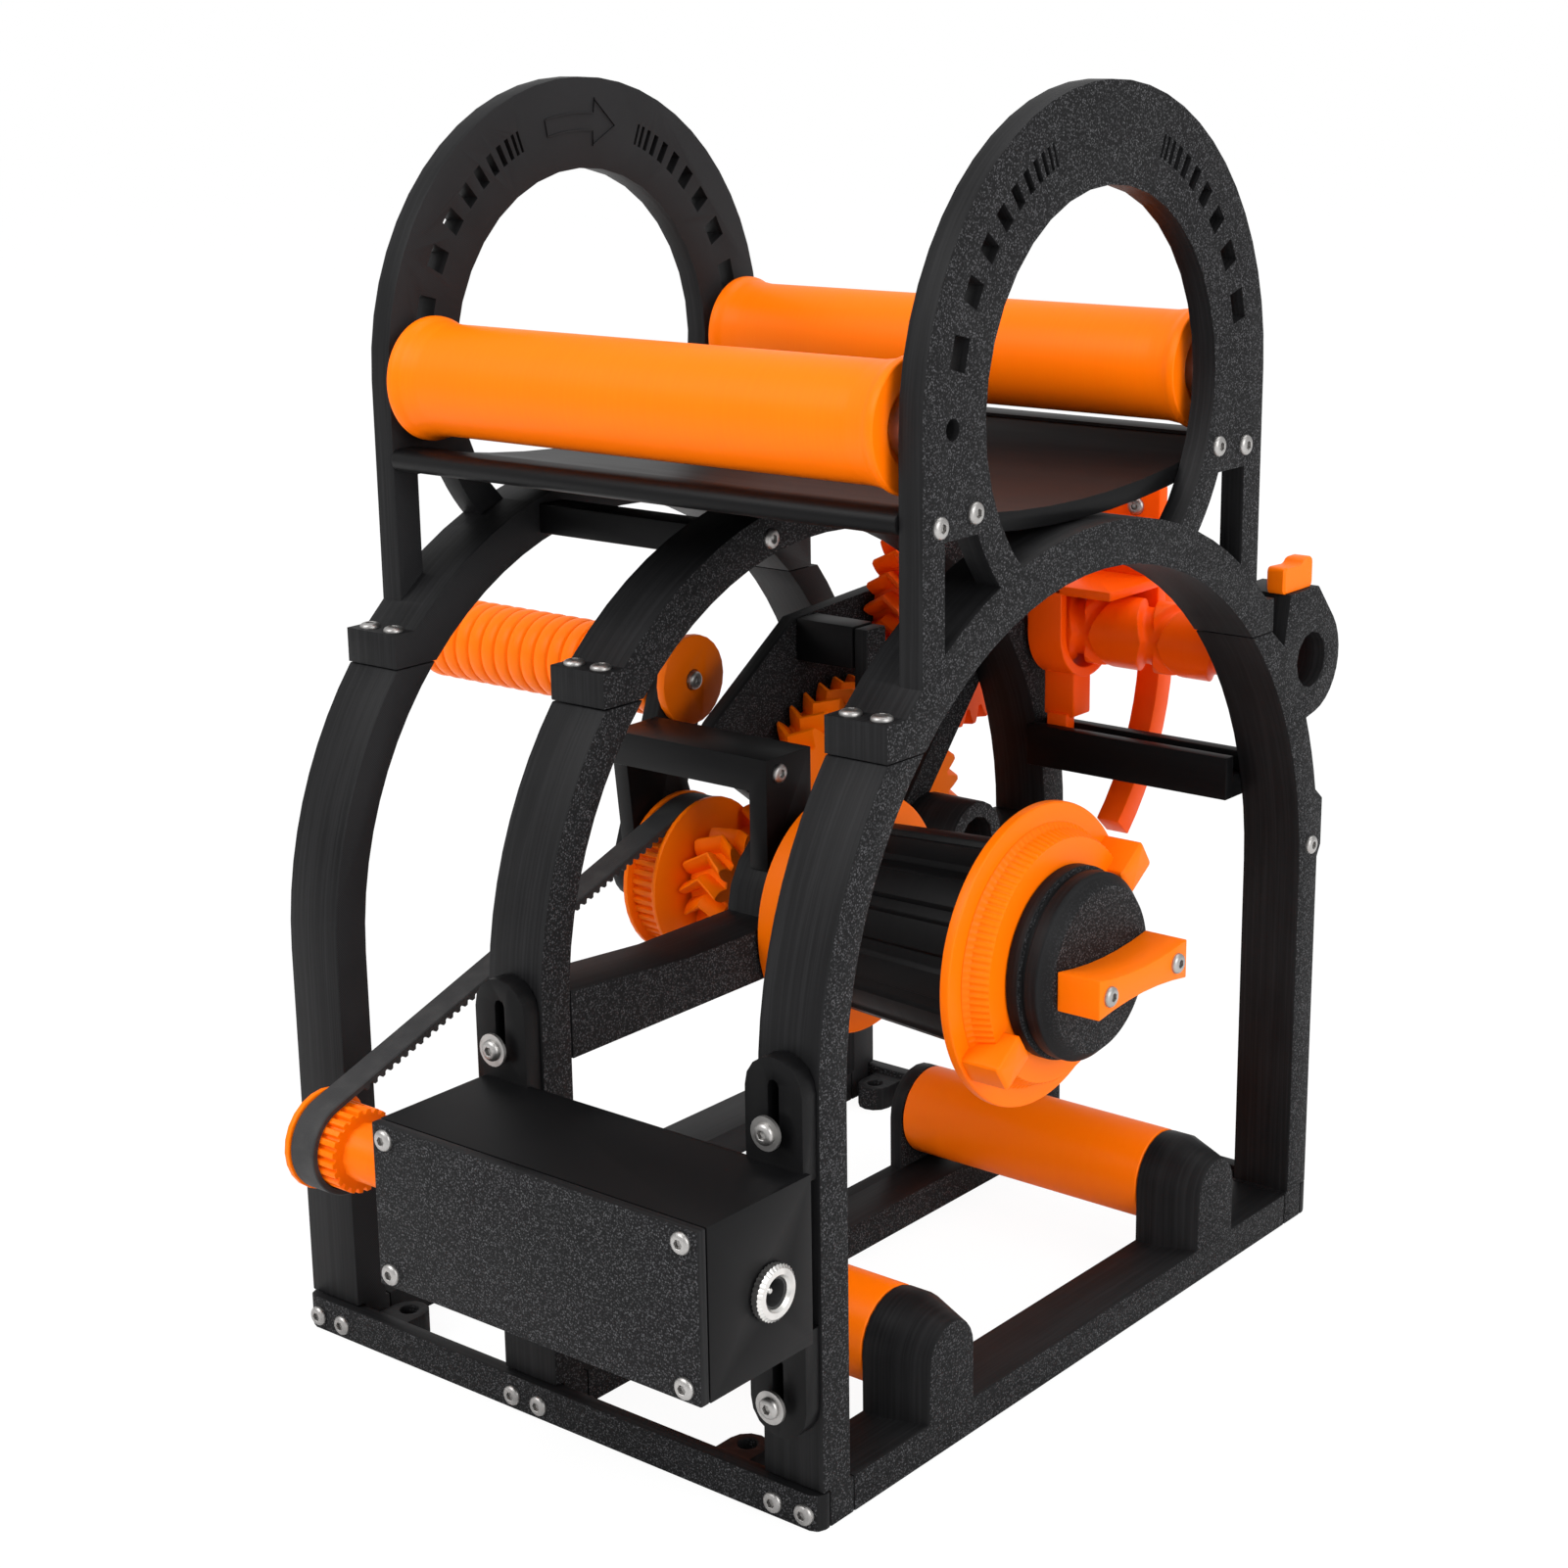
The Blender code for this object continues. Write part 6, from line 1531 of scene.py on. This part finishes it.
@dataclass
class Studio:
    """Camera at the photograph's place, soft lights and a pale floor."""

    eye: Triple = (0.4853, -0.5975, 0.3626)
    yaw: float = math.radians(39.519)
    pitch: float = math.radians(15.546)
    roll: float = math.radians(-0.874)
    focal_px: float = 2842.55
    image_px: float = 1601.0
    sensor_mm: float = 36.0
    near: float = 0.01
    aim: Triple = (0.0, 0.0, 0.15)
    lamps: tuple[tuple[str, Triple, float, float], ...] = (
        ("key_light", (-0.55, -1.3, 1.5), 1.1, 22.0),
        ("side_light", (1.6, -0.35, 0.9), 1.2, 17.0),
        ("top_light", (0.1, 0.5, 1.7), 1.2, 11.0),
    )
    floor_half: float = 6.0
    floor_z: float = -0.0002
    floor_tones: Pair = (0.86, 0.9)
    floor_rough: float = 0.9
    floor_noise: float = 3.0
    floor_glow: float = 1.04
    floor_share: float = 0.9
    surround: float = 0.72

    def hang(self, name: str, data: bpy.types.ID, axes: list, place: Triple) -> bpy.types.Object:
        """Puts a camera or light in the scene.

        Args:
            name: its name.
            data: the camera's or light's data.
            axes: its right, up and back directions, as arrays.
            place: where it hangs.

        Returns:
            The object.
        """
        made = bpy.data.objects.new(name, data)
        matrix = np.eye(4)
        matrix[:3] = np.stack([*axes, place], axis=-1)
        made.matrix_world = Matrix(matrix.tolist())
        bpy.context.scene.collection.objects.link(made)
        return made

    def camera(self) -> None:
        """Turns the camera by yaw, pitch and roll, which give its right, up and back directions."""
        yaw, pitch, roll = self.yaw, self.pitch, self.roll
        flat = math.cos(pitch)
        back = np.array([math.sin(yaw) * flat, -math.cos(yaw) * flat, math.sin(pitch)])
        right = np.array([math.cos(yaw), math.sin(yaw), 0.0])
        up = np.cross(back, right)
        side = math.cos(roll) * right + math.sin(roll) * up
        rise = math.cos(roll) * up - math.sin(roll) * right
        data = bpy.data.cameras.new("camera")
        data.sensor_width = self.sensor_mm
        data.lens = self.focal_px / self.image_px * self.sensor_mm
        data.clip_start = self.near
        bpy.context.scene.camera = self.hang("camera", data, [side, rise, back], self.eye)

    def lamp(self, name: str, place: Triple, size: float, power: float) -> None:
        """A square area light that looks at the object's middle.

        Args:
            name: the light's name.
            place: where it hangs.
            size: its side.
            power: its power in watts.
        """
        data = bpy.data.lights.new(name, "AREA")
        data.size = size
        data.energy = power
        back = direction(np.subtract(place, self.aim))
        right = direction(np.cross([0.0, 0.0, 1.0], back))
        self.hang(name, data, [right, np.cross(back, right), back], place)

    def floor(self) -> None:
        """A pale floor that the camera sees as white, but for the object's shadow."""
        mesh = bpy.data.meshes.new("floor")
        half = self.floor_half
        corners = [(-half, -half, 0), (half, -half, 0), (half, half, 0), (-half, half, 0)]
        mesh.from_pydata(corners, [], [(0, 1, 2, 3)])
        made = bpy.data.objects.new("floor", mesh)
        made.location.z = self.floor_z
        paint = Paint("pale_floor", self.floor_rough)
        dark, pale = ((tone, tone, tone) for tone in self.floor_tones)
        paint.feed("Base Color", paint.blend(paint.noise(paint.place(), self.floor_noise), dark, pale))
        glow = paint.node("ShaderNodeEmission", {"Strength": self.floor_glow})
        seen = paint.node("ShaderNodeLightPath", {}) * self.floor_share
        shader = Value(paint.tree, paint.shader.outputs[0])
        mix = paint.node("ShaderNodeMixShader", {0: seen, 1: shader, 2: glow})
        paint.tree.links.new(mix.socket, paint.tree.nodes["Material Output"].inputs[0])
        mesh.materials.append(paint.material)
        bpy.context.scene.collection.objects.link(made)

    def world(self) -> None:
        """An even pale surround, white to the camera."""
        world = bpy.data.worlds.new("surround")
        world.use_nodes = True
        tree = world.node_tree
        backdrop = tree.nodes["Background"]
        backdrop.inputs["Color"].default_value = WHITE
        backdrop.inputs["Strength"].default_value = self.surround
        white = tree.nodes.new("ShaderNodeBackground")
        white.inputs["Color"].default_value = WHITE
        mix = tree.nodes.new("ShaderNodeMixShader")
        path = tree.nodes.new("ShaderNodeLightPath")
        for slot, node in zip(mix.inputs, (path, backdrop, white)):
            tree.links.new(node.outputs[0], slot)
        tree.links.new(mix.outputs[0], tree.nodes["World Output"].inputs[0])
        bpy.context.scene.world = world

    def build(self) -> None:
        """Sets up camera, lights, floor and surround."""
        self.camera()
        for lamp in self.lamps:
            self.lamp(*lamp)
        self.floor()
        self.world()
        bpy.context.scene.view_settings.view_transform = "Standard"


def main() -> None:
    """Dresses the solids, builds the pieces and reports each."""
    logging.basicConfig(level=logging.INFO, format="%(message)s")
    Studio().build()
    finish = Finishes()
    Frames().dress(finish, EdgeSoftener())
    drive = (Rollers, SpoolHub, GearTrain, CrankHandle, LevelWind, Carriage, FilamentClip, BeltDrive)
    small = (Bearings, Inlet, Screws, ArrowMark)
    for group in drive + small:
        group().build(finish)


if __name__ == "__main__":
    main()
